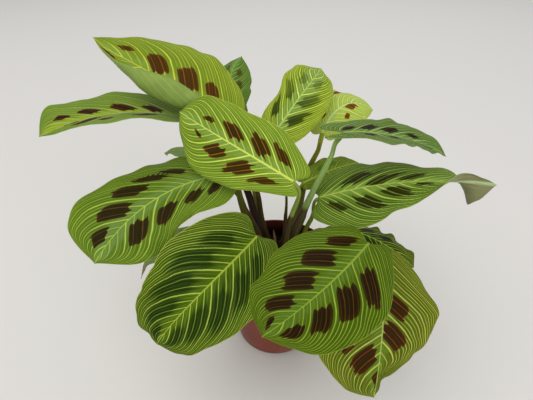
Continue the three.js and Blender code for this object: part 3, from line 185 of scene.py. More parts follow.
# Colours, as sRGB 0-255. base: blade between the veins; out: towards the margin;
# feather: pale zone beside the midrib; vein: main side veins; mid: midrib;
# blot: blotches; bvein: veins inside blotches; under: underside.
LOOKS = {
    'center': dict(period=0.22, groups=3, vw=0.6, f0=0.1, f1=0.1, f2=0.1, fs=0.8, lens=0.35, strip_tone_and_shade=0.7, fine=0.26, med=0.75, strong=0.95, bmed=0.6, bs=1.0, rough=0.42, teeth=0.7, bsoft=0.0, ruffle=1.4, sh=1.0, hook=0.0, lobe_at=0.036, uvein=0.9, bfade=1.0, quilt=1.0, wave=1.0, blen=1.0, bwid=1.0, base=(120, 148, 44), out=(116, 148, 35), feather=(116, 148, 64), dark=(87, 118, 23), vein=(214, 225, 99), mid=(214, 227, 99), blot=(47, 39, 2), bedge=(71, 49, 10), bvein=(177, 106, 36), under=(164, 184, 134)),
    'front_right': dict(period=0.235, groups=3, vw=0.4, f0=0.1, f1=0.1, f2=0.1, fs=0.62, lens=0.35, strip_tone_and_shade=0.65, fine=0.55, med=0.7, strong=0.95, bmed=0.6, bs=1.0, rough=0.42, teeth=0.3, bsoft=0.0, ruffle=1.0, sh=1.0, hook=0.0, lobe_at=0.05, uvein=0.9, bfade=1.0, quilt=1.0, wave=1.0, blen=1.02, bwid=1.05, base=(77, 102, 9), out=(80, 106, 9), feather=(83, 114, 34), dark=(53, 77, 4), vein=(151, 171, 56), mid=(138, 162, 51), blot=(29, 19, 0), bedge=(45, 32, 1), bvein=(108, 68, 8), under=(164, 184, 134)),
    'front_left': dict(period=0.2, groups=3, vw=0.34, f0=0.03, f1=0.1, f2=0.08, fs=0.5, lens=0.6, strip_tone_and_shade=0.75, fine=0.34, med=0.9, strong=0.95, bmed=0.9, bs=0.72, rough=0.42, teeth=0.5, bsoft=0.34, ruffle=1.6, sh=1.0, hook=0.0, lobe_at=0.05, uvein=0.9, bfade=1.0, quilt=1.0, wave=1.0, blen=1.5, bwid=1.3, base=(69, 100, 3), out=(88, 116, 5), feather=(88, 118, 7), dark=(36, 61, 1), vein=(187, 199, 87), mid=(171, 188, 69), blot=(5, 32, 0), bedge=(27, 49, 5), bvein=(92, 116, 41), under=(164, 184, 134)),
    'left': dict(period=0.2, groups=3, vw=0.42, f0=0.1, f1=0.1, f2=0.1, fs=0.8, lens=0.35, strip_tone_and_shade=0.6, fine=0.28, med=0.85, strong=1.0, bmed=0.6, bs=1.0, rough=0.42, teeth=0.5, bsoft=0.0, ruffle=2.2, sh=1.0, hook=0.0, lobe_at=0.05, uvein=0.9, bfade=1.0, quilt=1.0, wave=1.0, blen=1.0, bwid=1.0, base=(95, 123, 37), out=(104, 133, 30), feather=(102, 132, 65), dark=(69, 97, 20), vein=(177, 195, 73), mid=(165, 189, 60), blot=(37, 33, 5), bedge=(54, 40, 13), bvein=(104, 72, 42), under=(164, 184, 134)),
    'upper_left': dict(period=0.215, groups=3, vw=0.6, f0=0.1, f1=0.1, f2=0.1, fs=0.8, lens=0.35, strip_tone_and_shade=0.55, fine=0.26, med=0.62, strong=1.0, bmed=0.6, bs=1.0, rough=0.42, teeth=0.5, bsoft=0.0, ruffle=1.0, sh=1.0, hook=7.0, lobe_at=0.05, uvein=1.22, bfade=1.0, quilt=1.0, wave=1.0, blen=1.0, bwid=1.0, base=(121, 147, 41), out=(127, 152, 42), feather=(128, 155, 64), dark=(95, 120, 26), vein=(210, 208, 65), mid=(215, 212, 72), blot=(70, 45, 3), bedge=(86, 53, 11), bvein=(158, 102, 37), under=(134, 157, 74)),
    'low_right': dict(period=0.2, groups=3, vw=0.5, f0=0.1, f1=0.1, f2=0.1, fs=0.8, lens=0.35, strip_tone_and_shade=0.55, fine=0.42, med=0.75, strong=0.95, bmed=0.6, bs=1.0, rough=0.42, teeth=0.5, bsoft=0.0, ruffle=2.4, sh=0.8, hook=0.0, lobe_at=0.05, uvein=0.9, bfade=1.0, quilt=1.0, wave=1.0, blen=1.0, bwid=1.0, base=(89, 108, 10), out=(102, 118, 11), feather=(94, 126, 30), dark=(65, 82, 4), vein=(192, 192, 92), mid=(180, 192, 100), blot=(47, 31, 2), bedge=(67, 37, 8), bvein=(138, 70, 23), under=(164, 184, 134)),
    'right': dict(period=0.205, groups=3, vw=0.72, f0=0.1, f1=0.1, f2=0.1, fs=0.8, lens=0.5, strip_tone_and_shade=1.0, fine=0.3, med=1.0, strong=1.0, bmed=0.95, bs=1.0, rough=0.42, teeth=0.9, bsoft=0.05, ruffle=1.4, sh=1.0, hook=0.0, lobe_at=0.04, uvein=0.9, bfade=1.0, quilt=1.0, wave=1.0, blen=1.3, bwid=1.0, base=(103, 136, 43), out=(112, 144, 47), feather=(117, 153, 62), dark=(60, 95, 23), vein=(185, 193, 88), mid=(177, 189, 81), blot=(38, 44, 2), bedge=(46, 54, 9), bvein=(120, 130, 55), under=(164, 184, 134), under_tip=(132, 124, 84)),
    'upper_right': dict(period=0.2, groups=3, vw=0.55, f0=0.1, f1=0.1, f2=0.1, fs=0.8, lens=0.35, strip_tone_and_shade=0.55, fine=0.2, med=0.6, strong=1.0, bmed=0.6, bs=1.0, rough=0.42, teeth=0.5, bsoft=0.0, ruffle=1.0, sh=1.0, hook=0.0, lobe_at=0.05, uvein=0.9, bfade=1.0, quilt=1.0, wave=1.0, blen=1.0, bwid=1.0, base=(83, 114, 45), out=(90, 122, 49), feather=(105, 138, 67), dark=(63, 90, 29), vein=(161, 176, 100), mid=(163, 180, 104), blot=(29, 16, 1), bedge=(38, 27, 8), bvein=(73, 68, 32), under=(164, 184, 134)),
    'top': dict(period=0.25, groups=3, vw=0.42, f0=0.24, f1=0.22, f2=0.12, fs=0.85, lens=0.35, strip_tone_and_shade=0.7, fine=0.6, med=0.7, strong=0.75, bmed=0.6, bs=0.9, rough=0.42, teeth=0.9, bsoft=0.14, ruffle=1.0, sh=1.0, hook=0.0, lobe_at=0.05, uvein=0.9, bfade=0.5, quilt=1.0, wave=1.0, blen=1.5, bwid=1.0, base=(122, 150, 24), out=(143, 167, 30), feather=(114, 146, 69), dark=(96, 122, 13), vein=(226, 232, 105), mid=(177, 199, 97), blot=(32, 38, 3), bedge=(48, 57, 9), bvein=(84, 97, 29), under=(164, 184, 134)),
    'far_left': dict(period=0.185, groups=3, vw=0.6, f0=0.1, f1=0.1, f2=0.1, fs=0.8, lens=0.35, strip_tone_and_shade=0.55, fine=0.28, med=0.6, strong=1.0, bmed=0.6, bs=1.0, rough=0.42, teeth=0.5, bsoft=0.0, ruffle=1.0, sh=1.0, hook=0.0, lobe_at=0.05, uvein=0.9, bfade=1.0, quilt=1.0, wave=1.0, blen=1.0, bwid=1.0, base=(122, 145, 14), out=(112, 142, 6), feather=(150, 167, 26), dark=(90, 117, 6), vein=(161, 182, 123), mid=(174, 194, 160), blot=(48, 19, 4), bedge=(62, 29, 10), bvein=(108, 60, 24), under=(164, 184, 134)),
    'young': dict(period=0.22, groups=3, vw=0.42, f0=0.1, f1=0.1, f2=0.1, fs=0.8, lens=0.35, strip_tone_and_shade=0.55, fine=0.4, med=0.5, strong=0.6, bmed=0.6, bs=1.0, rough=0.42, teeth=0.5, bsoft=0.0, ruffle=1.0, sh=1.0, hook=0.0, lobe_at=0.05, uvein=0.9, bfade=1.0, quilt=1.0, wave=1.0, blen=1.0, bwid=1.0, base=(173, 193, 64), out=(177, 197, 65), feather=(153, 180, 70), dark=(143, 168, 45), vein=(223, 232, 152), mid=(202, 218, 142), blot=(96, 57, 3), bedge=(117, 70, 13), bvein=(166, 113, 41), under=(190, 208, 148)),
    'back': dict(period=0.2, groups=3, vw=0.42, f0=0.1, f1=0.1, f2=0.1, fs=0.8, lens=0.35, strip_tone_and_shade=0.55, fine=0.42, med=0.75, strong=0.95, bmed=0.6, bs=1.0, rough=0.42, teeth=0.5, bsoft=0.0, ruffle=1.0, sh=1.0, hook=0.0, lobe_at=0.05, uvein=0.9, bfade=1.0, quilt=1.0, wave=1.0, blen=1.0, bwid=1.0, base=(75, 113, 47), out=(81, 121, 49), feather=(95, 133, 64), dark=(56, 91, 31), vein=(151, 170, 67), mid=(155, 174, 70), blot=(53, 75, 20), bedge=(78, 75, 25), bvein=(127, 85, 36), under=(164, 184, 134)),
    'small_right': dict(period=0.2, groups=3, vw=0.36, f0=0.1, f1=0.1, f2=0.1, fs=0.8, lens=0.2, strip_tone_and_shade=0.55, fine=0.42, med=0.7, strong=0.9, bmed=0.6, bs=0.85, rough=0.42, teeth=0.5, bsoft=0.2, ruffle=3.0, sh=1.0, hook=0.0, lobe_at=0.05, uvein=0.9, bfade=1.0, quilt=1.0, wave=1.0, blen=1.0, bwid=1.0, base=(16, 39, 3), out=(20, 47, 5), feather=(24, 54, 9), dark=(11, 34, 2), vein=(188, 211, 64), mid=(171, 201, 57), blot=(5, 10, 1), bedge=(11, 19, 3), bvein=(56, 70, 29), under=(164, 184, 134)),
    'inner_right': dict(period=0.2, groups=3, vw=0.42, f0=0.1, f1=0.1, f2=0.1, fs=0.8, lens=0.35, strip_tone_and_shade=0.55, fine=0.42, med=0.75, strong=0.95, bmed=0.6, bs=0.75, rough=0.42, teeth=0.5, bsoft=0.0, ruffle=1.0, sh=1.0, hook=0.0, lobe_at=0.05, uvein=0.9, bfade=1.0, quilt=1.0, wave=1.0, blen=1.0, bwid=1.0, base=(101, 124, 25), out=(106, 128, 26), feather=(100, 125, 34), dark=(74, 97, 14), vein=(166, 183, 70), mid=(163, 181, 70), blot=(64, 105, 9), bedge=(76, 109, 19), bvein=(128, 142, 59), under=(164, 184, 134)),
    'inner_left': dict(period=0.2, groups=3, vw=0.42, f0=0.1, f1=0.1, f2=0.1, fs=0.8, lens=0.35, strip_tone_and_shade=0.55, fine=0.42, med=0.75, strong=0.95, bmed=0.6, bs=1.0, rough=0.42, teeth=0.5, bsoft=0.0, ruffle=1.0, sh=1.0, hook=0.0, lobe_at=0.05, uvein=0.9, bfade=1.0, quilt=1.0, wave=1.0, blen=1.0, bwid=1.0, base=(150, 174, 96), out=(156, 180, 100), feather=(150, 174, 104), dark=(124, 150, 72), vein=(176, 196, 122), mid=(170, 192, 116), blot=(60, 36, 12), bedge=(74, 43, 14), bvein=(140, 84, 30), under=(172, 190, 128)),
    'low_left': dict(period=0.2, groups=3, vw=0.42, f0=0.1, f1=0.1, f2=0.1, fs=0.8, lens=0.35, strip_tone_and_shade=0.55, fine=0.42, med=0.75, strong=0.95, bmed=0.6, bs=0.7, rough=0.42, teeth=0.5, bsoft=0.0, ruffle=1.0, sh=1.0, hook=-15.0, lobe_at=0.05, uvein=0.9, bfade=1.0, quilt=1.0, wave=1.0, blen=1.0, bwid=1.0, base=(128, 150, 84), out=(132, 154, 86), feather=(136, 158, 98), dark=(98, 122, 60), vein=(170, 188, 118), mid=(160, 182, 110), blot=(60, 36, 12), bedge=(74, 43, 14), bvein=(140, 84, 30), under=(164, 184, 134), dry_tip=(140, 138, 104)),
}


# ---------------------------------------------------------------- helpers
def lin(c):
    out = []
    for v in c[:3]:
        v = v / 255.0
        out.append(v / 12.92 if v <= 0.04045 else ((v + 0.055) / 1.055) ** 2.4)
    return (*out, 1.0)


def smooth01(x, a, b):
    y = np.clip((x - a) / (b - a), 0, 1)
    return y * y * (3 - 2 * y)


class Nodes:
    """A short way to write a node material."""

    def __init__(self, name):
        self.mat = bpy.data.materials.new(name)
        self.mat.use_nodes = True
        self.nt = self.mat.node_tree
        self.nt.nodes.clear()
        self.out = self.nt.nodes.new("ShaderNodeOutputMaterial")
        self.bsdf = self.nt.nodes.new("ShaderNodeBsdfPrincipled")
        self.nt.links.new(self.bsdf.outputs[0], self.out.inputs[0])

    def link(self, value, socket):
        if isinstance(value, bpy.types.NodeSocket):
            self.nt.links.new(value, socket)
        else:
            socket.default_value = value

    def attr(self, name):
        n = self.nt.nodes.new("ShaderNodeAttribute")
        n.attribute_name = name
        return n.outputs["Fac"]

    def math(self, op, a, b=0.0, c=0.0, clamp=False):
        n = self.nt.nodes.new("ShaderNodeMath")
        n.operation = op
        n.use_clamp = clamp
        self.link(a, n.inputs[0])
        self.link(b, n.inputs[1])
        self.link(c, n.inputs[2])
        return n.outputs[0]

    def step(self, x, a, b, lo=0.0, hi=1.0):
        n = self.nt.nodes.new("ShaderNodeMapRange")
        n.interpolation_type = "SMOOTHSTEP"
        self.link(x, n.inputs["Value"])
        self.link(a, n.inputs["From Min"])
        self.link(b, n.inputs["From Max"])
        self.link(lo, n.inputs["To Min"])
        self.link(hi, n.inputs["To Max"])
        return n.outputs[0]

    def mix(self, f, a, b, kind="MIX"):
        n = self.nt.nodes.new("ShaderNodeMix")
        n.data_type = "RGBA"
        n.blend_type = kind
        self.link(f, n.inputs[0])
        self.link(a, n.inputs[6])
        self.link(b, n.inputs[7])
        return n.outputs[2]

    def vec(self, x, y, z=0.0):
        n = self.nt.nodes.new("ShaderNodeCombineXYZ")
        self.link(x, n.inputs[0])
        self.link(y, n.inputs[1])
        self.link(z, n.inputs[2])
        return n.outputs[0]

    def obj(self):
        n = self.nt.nodes.new("ShaderNodeTexCoord")
        return n.outputs["Object"]

    def noise(self, vector, scale, detail=3.0, rough=0.5, col=False):
        n = self.nt.nodes.new("ShaderNodeTexNoise")
        self.link(vector, n.inputs["Vector"])
        n.inputs["Scale"].default_value = scale
        n.inputs["Detail"].default_value = detail
        n.inputs["Roughness"].default_value = rough
        return n.outputs["Color"] if col else n.outputs[0]

    def bump(self, height, distance, strength=1.0):
        n = self.nt.nodes.new("ShaderNodeBump")
        n.inputs["Strength"].default_value = strength
        n.inputs["Distance"].default_value = distance
        self.link(height, n.inputs["Height"])
        self.nt.links.new(n.outputs[0], self.bsdf.inputs["Normal"])

    def set(self, name, value):
        self.link(value, self.bsdf.inputs[name])


def make_object(name, verts, faces, mats, face_mat=None, smooth=True):
    me = bpy.data.meshes.new(name)
    me.from_pydata([tuple(v) for v in verts], [], [tuple(f) for f in faces])
    for m in mats:
        me.materials.append(m)
    if face_mat is not None:
        me.polygons.foreach_set("material_index", np.asarray(face_mat, np.int32))
    me.polygons.foreach_set("use_smooth", np.full(len(me.polygons), smooth))
    me.update()
    ob = bpy.data.objects.new(name, me)
    scene.collection.objects.link(ob)
    return ob


# ---------------------------------------------------------------- leaf materials
def leaf_top(name, look, length):
    k = Nodes("blade_" + name)
    per = look["period"]              # blotch period along the pattern
    ph, sv, tv, bu, bv, xm = (k.attr(a) for a in ("ph", "sv", "tv", "bu", "bv", "xm"))
    obj = k.obj()
    n1 = k.noise(obj, 45.0, 2.0)
    streak = k.noise(k.vec(k.math("MULTIPLY", ph, 30.0), k.math("MULTIPLY", sv, 2.6), look["seed"] * 3.7), 1.0, 3.0, 0.6)
    streak2 = k.noise(k.vec(k.math("MULTIPLY", ph, 75.0), k.math("MULTIPLY", sv, 5.0), look["seed"] * 1.3), 1.0, 2.0, 0.6)
    wob = k.noise(k.vec(k.math("MULTIPLY", ph, 2.0), k.math("MULTIPLY", sv, 3.0), look["seed"]), 1.0, 2.0)
    wob2 = k.noise(k.vec(k.math("MULTIPLY", ph, 6.0), k.math("MULTIPLY", sv, 1.6), look["seed"] + 5.0), 1.0, 1.0)
    p = k.math("ADD", ph, k.math("MULTIPLY", k.math("SUBTRACT", wob, 0.5), 0.10))
    p = k.math("ADD", p, k.math("MULTIPLY", k.math("SUBTRACT", wob2, 0.5), 0.05))
    mm = length * per                 # one pattern period in millimetres along the midrib

    def line(mult, width_mm, soft_mm, taper=0.0):
        x = k.math("MULTIPLY", p, mult)
        d = k.math("ABSOLUTE", k.math("SUBTRACT", k.math("FRACT", k.math("ADD", x, 0.5)), 0.5))
        w = width_mm / mm * mult
        e = soft_mm / mm * mult
        if taper:
            w = k.math("MULTIPLY", k.step(sv, 0.0, 1.0, 1.25, 1.0 - taper), w)
            e2 = k.math("ADD", w, e)
            return k.step(d, w, e2, 1.0, 0.0), d
        return k.step(d, w, w + e, 1.0, 0.0), d

    g = look["groups"]
    strong, dstrong = line(1.0, look["vw"] * 1.0, 0.55, 0.35)
    medium, dmed = line(float(g), look["vw"] * 0.62, 0.5, 0.35)
    fine, dfine = line(float(g * 2), 0.30, 0.55, 0.45)
    which = k.nt.nodes.new("ShaderNodeTexWhiteNoise")
    which.noise_dimensions = "1D"
    k.link(k.math("FLOOR", k.math("ADD", k.math("MULTIPLY", p, float(g * 2)), 0.5 + look["seed"])), which.inputs["W"])
    pick = which.outputs[0]
    fine = k.math("MULTIPLY", fine, k.step(pick, 0.0, 1.0, 0.45, 1.0))
    fgrow = k.step(sv, 0.18, 0.62, look["fine"] * 0.45, min(1.0, look["fine"] * 1.9))

    # pale feathered zone beside the midrib, running out along the veins in teeth
    tooth = k.math("SUBTRACT", 1.0, k.math("MULTIPLY", dmed, 2.0))
    big = k.math("SUBTRACT", 1.0, k.math("MULTIPLY", dstrong, 2.0))
    reach = k.math("ADD", look["f0"], k.math("MULTIPLY", k.math("POWER", tooth, 1.6), look["f1"]))
    reach = k.math("ADD", reach, k.math("MULTIPLY", k.math("POWER", big, 3.0), look["f2"]))
    reach = k.math("ADD", reach, k.math("MULTIPLY", k.math("SUBTRACT", streak, 0.5), 0.12))
    end = k.step(tv, 0.72, 1.0, 1.0, 1.8)
    reach = k.math("MULTIPLY", reach, end)
    feather = k.step(k.math("SUBTRACT", sv, reach), -0.035, 0.05, 1.0, 0.0)

    outer = k.step(k.math("ADD", sv, k.math("MULTIPLY", k.math("SUBTRACT", n1, 0.5), 0.5)), 0.45, 0.95)
    base = k.mix(outer, lin(look["base"]), lin(look["out"]))
    base = k.mix(k.math("MULTIPLY", k.step(n1, 0.35, 0.75), 0.35), base, lin(look["dark"]))
    # darker lenses between the veins
    lens = k.math("MULTIPLY", k.step(dmed, 0.12, 0.42), k.math("MULTIPLY", k.step(sv, 0.12, 0.3), k.step(sv, 0.6, 0.95, 1.0, 0.25)))
    base = k.mix(k.math("MULTIPLY", lens, look["lens"]), base, lin(look["dark"]))
    # each narrow strip between fine veins is darkest in its middle: partly the blade's own darker green, partly painted
    # shade of the quilted relief, growing towards the margin
    strip_tone_and_shade = k.math("MULTIPLY", k.step(dfine, 0.1, 0.45), k.step(sv, 0.15, 0.5, 0.25, 1.0))
    base = k.mix(k.math("MULTIPLY", strip_tone_and_shade, look["strip_tone_and_shade"]), base, lin(look["dark"]))
    base = k.mix(k.math("MULTIPLY", feather, look["fs"]), base, lin(look["feather"]))
    base = k.mix(k.step(streak2, 0.25, 0.8, 0.0, 0.16), base, lin(look["dark"]))
    base = k.mix(k.step(streak, 0.45, 0.85, 0.0, 0.22), base, lin(look["vein"]))

    # blotches: u across the veins, v along them. Each strip between two fine veins
    # ends at its own place, and the inner end has deep pale teeth
    strip_id = k.math("FLOOR", k.math("MULTIPLY", p, float(g * 2)))
    ends = k.nt.nodes.new("ShaderNodeTexWhiteNoise")
    ends.noise_dimensions = "1D"
    k.link(k.math("ADD", k.math("ADD", strip_id, 0.3 + look["seed"] * 7.0), k.math("MULTIPLY", k.math("GREATER_THAN", bv, 0.0), 0.5)), ends.inputs["W"])
    jag = k.math("ADD", k.math("MULTIPLY", k.math("SUBTRACT", ends.outputs[0], 0.5), look["teeth"]), k.math("MULTIPLY", k.math("SUBTRACT", streak, 0.5), 0.30))
    jag = k.math("ADD", jag, k.math("MULTIPLY", k.math("SUBTRACT", streak2, 0.5), 0.10))
    jag = k.math("ADD", jag, k.math("MULTIPLY", k.math("POWER", tooth, 1.5), k.step(bv, -0.9, -0.1, 0.42, 0.0)))
    va = k.math("MULTIPLY", k.math("ABSOLUTE", bv), k.math("ADD", 1.0, jag))
    field = k.math("SUBTRACT", 1.0, k.math("POWER", k.math("ADD", k.math("POWER", bu, 4.0), k.math("POWER", va, 4.0)), 0.25))
    blot = k.math("MULTIPLY", k.step(field, -0.02 - look["bsoft"] * 0.4, 0.05 + look["bsoft"]), k.math("MULTIPLY", k.step(tv, 0.2, 0.75, 1.0, look["bfade"]), look["bs"]))
    deep = k.step(field, 0.0, 0.38)
    bcol = k.mix(deep, lin(look["bedge"]), lin(look["blot"]))
    bcol = k.mix(k.step(streak2, 0.4, 0.9, 0.0, 0.35), bcol, lin(look["bedge"]))

    vcol = k.mix(blot, lin(look["vein"]), lin(look["bvein"]))
    vary = k.step(k.noise(k.vec(k.math("MULTIPLY", ph, 14.0), k.math("MULTIPLY", sv, 3.5), look["seed"] + 9.0), 1.0, 2.0), 0.28, 0.62, 0.62, 1.0)
    medium = k.math("MULTIPLY", medium, vary)
    fine = k.math("MULTIPLY", fine, vary)
    col = k.mix(blot, base, bcol)
    fade = k.step(sv, 0.93, 1.0, 1.0, 0.6)
    col = k.mix(k.math("MULTIPLY", k.math("MULTIPLY", fine, k.math("MULTIPLY", fgrow, k.step(blot, 0.0, 1.0, 1.0, 0.35))), fade), col, vcol)
    col = k.mix(k.math("MULTIPLY", medium, k.step(blot, 0.0, 1.0, look["med"], look["bmed"])), col, vcol)
    col = k.mix(k.math("MULTIPLY", strong, k.step(blot, 0.0, 1.0, look["strong"], 0.75)), col, vcol)
    # midrib and margin
    rib_w = k.step(tv, 0.0, 1.0, 1.0, 0.3)
    rib = k.step(xm, k.math("MULTIPLY", rib_w, 0.55), k.math("MULTIPLY", rib_w, 1.5), 1.0, 0.0)
    col = k.mix(k.math("MULTIPLY", rib, 0.85), col, lin(look["mid"]))
    edge = k.step(sv, 0.978, 0.997)
    col = k.mix(k.math("MULTIPLY", edge, 0.55), col, lin(look["vein"]))
    if look.get("dry_tip"):
        col = k.mix(k.step(tv, 0.84, 0.93, 0.0, 0.9), col, lin(look["dry_tip"]))
    k.set("Base Color", col)
    rough = k.step(streak, 0.2, 0.8, look["rough"] - 0.05, look["rough"] + 0.08)
    k.set("Roughness", rough)
    k.set("Specular IOR Level", 0.04)
    height = k.math("ADD", k.math("MULTIPLY", k.math("ADD", medium, strong), -0.55), k.math("MULTIPLY", fine, -0.35))
    height = k.math("ADD", height, k.math("MULTIPLY", streak2, 0.5))
    k.bump(height, 0.00016, 0.9)
    return k.mat


def leaf_under(name, look, length):
    k = Nodes("underside_" + name)
    mm = length * look["period"]
    ph, sv, tv, xm = (k.attr(a) for a in ("ph", "sv", "tv", "xm"))
    obj = k.obj()
    n1 = k.noise(obj, 60.0, 3.0)
    streak = k.noise(k.vec(k.math("MULTIPLY", ph, 40.0), k.math("MULTIPLY", sv, 2.5), 7.0 + look["seed"]), 1.0, 3.0, 0.6)
    g = look["groups"]

    def line(mult, w, e):
        x = k.math("MULTIPLY", ph, mult)
        d = k.math("ABSOLUTE", k.math("SUBTRACT", k.math("FRACT", k.math("ADD", x, 0.5)), 0.5))
        return k.step(d, w / mm * mult, (w + e) / mm * mult, 1.0, 0.0)

    col = k.mix(k.step(n1, 0.3, 0.75), lin(look["under"]), lin([0.88 * v for v in look["under"]]))
    col = k.mix(k.step(streak, 0.35, 0.8, 0.0, 0.3), col, lin([min(255, 1.12 * v) for v in look["under"]]))
    vein = lin([min(255, look["uvein"] * g) for g in look["under"]])
    col = k.mix(k.math("MULTIPLY", line(float(g), 0.35, 0.5), 0.7), col, vein)
    col = k.mix(k.math("MULTIPLY", line(float(g * 4), 0.12, 0.35), 0.3), col, vein)
    if look.get("under_tip"):
        col = k.mix(k.step(tv, 0.74, 0.86, 0.0, 0.75), col, lin(look["under_tip"]))
    if look.get("dry_tip"):
        col = k.mix(k.step(tv, 0.84, 0.93, 0.0, 0.9), col, lin(look["dry_tip"]))
    rib = k.step(xm, 0.9, 1.9, 1.0, 0.0)
    col = k.mix(k.math("MULTIPLY", rib, 0.7), col, lin([min(255, 1.18 * v) for v in look["under"]]))
    k.set("Base Color", col)
    k.set("Roughness", k.step(streak, 0.2, 0.8, 0.55, 0.68))
    k.set("Specular IOR Level", 0.15)
    k.bump(k.math("ADD", line(float(g), 0.35, 0.6), k.math("MULTIPLY", streak, 0.3)), 0.0002, 0.7)
    return k.mat


# ---------------------------------------------------------------- leaf geometry
KNOTS = np.array([0, 0.1, 0.3, 0.5, 0.7, 0.9, 1.0])


def width_factor(t, w):
    m = np.array([w[0], *w, w[4]])
    k = np.clip(np.searchsorted(KNOTS, t, side="right") - 1, 0, len(KNOTS) - 2)
    h = KNOTS[k + 1] - KNOTS[k]
    x = (t - KNOTS[k]) / h

    def slope(i):
        a, b = np.clip(i - 1, 0, len(KNOTS) - 1), np.clip(i + 1, 0, len(KNOTS) - 1)
        return (m[b] - m[a]) / (KNOTS[b] - KNOTS[a])

    v = ((2 * x**3 - 3 * x**2 + 1) * m[k] + (x**3 - 2 * x**2 + x) * slope(k) * h
         + (-2 * x**3 + 3 * x**2) * m[k + 1] + (x**3 - x**2) * slope(k + 1) * h)
    return np.maximum(v, 0.12)


def outline(t):
    return np.power(np.clip(np.sin(np.pi * np.power(t, 0.93)), 0, None), 0.58) * (1 - np.exp(-(1 - t) / 0.03))


def midrib(leaf, t):
    quad = lambda c, x: (c[0] + c[1] * x + c[2] * x * x) * rad

    def frames(x):
        y, p = quad(leaf["yaw"], x), quad(leaf["pitch"], x)
        r = quad(leaf["roll"], x) + leaf["twist"][0] * rad / (1 + np.exp(-(x - leaf["twist"][1]) / leaf["twist"][2]))
        T = np.stack([np.cos(p) * np.cos(y), np.cos(p) * np.sin(y), np.sin(p)], -1)
        A0 = np.stack([-np.sin(y), np.cos(y), 0 * y], -1)
        N0 = np.cross(T, A0)
        A = A0 * np.cos(r)[:, None] + N0 * np.sin(r)[:, None]
        N = N0 * np.cos(r)[:, None] - A0 * np.sin(r)[:, None]
        return T, A, N

    fine = np.linspace(0, 1, 97)
    Tf = frames(fine)[0]
    M = np.concatenate([np.zeros((1, 3)), np.cumsum((Tf[1:] + Tf[:-1]) * 0.5, 0) / 96 * leaf["length"]], 0) + np.array(leaf["base"])
    Mi = np.stack([np.interp(t, fine, M[:, i]) for i in range(3)], 1)
    return (Mi, *frames(t))


def pattern_phase(phi, centres, period):
    """Blotch k's centre is at phase k + 0.5; the strong veins are at whole numbers."""
    if len(centres) == 0:
        return phi / period
    c = np.sort(np.array(centres))
    xs = np.concatenate([[c[0] - 4 * period], c, [c[-1] + 4 * period]])
    ys = np.concatenate([[0.5 - 4], np.arange(len(c)) + 0.5, [len(c) - 0.5 + 4]])
    # skip empty places where two blotches are far apart
    for i in range(1, len(c)):
        gap = round((c[i] - c[i - 1]) / period)
        if gap > 1:
            ys[i + 1:] += gap - 1
    return np.interp(phi, xs, ys)


def vein_shift(s):
    return 0.33 * s + 0.17 * s**4


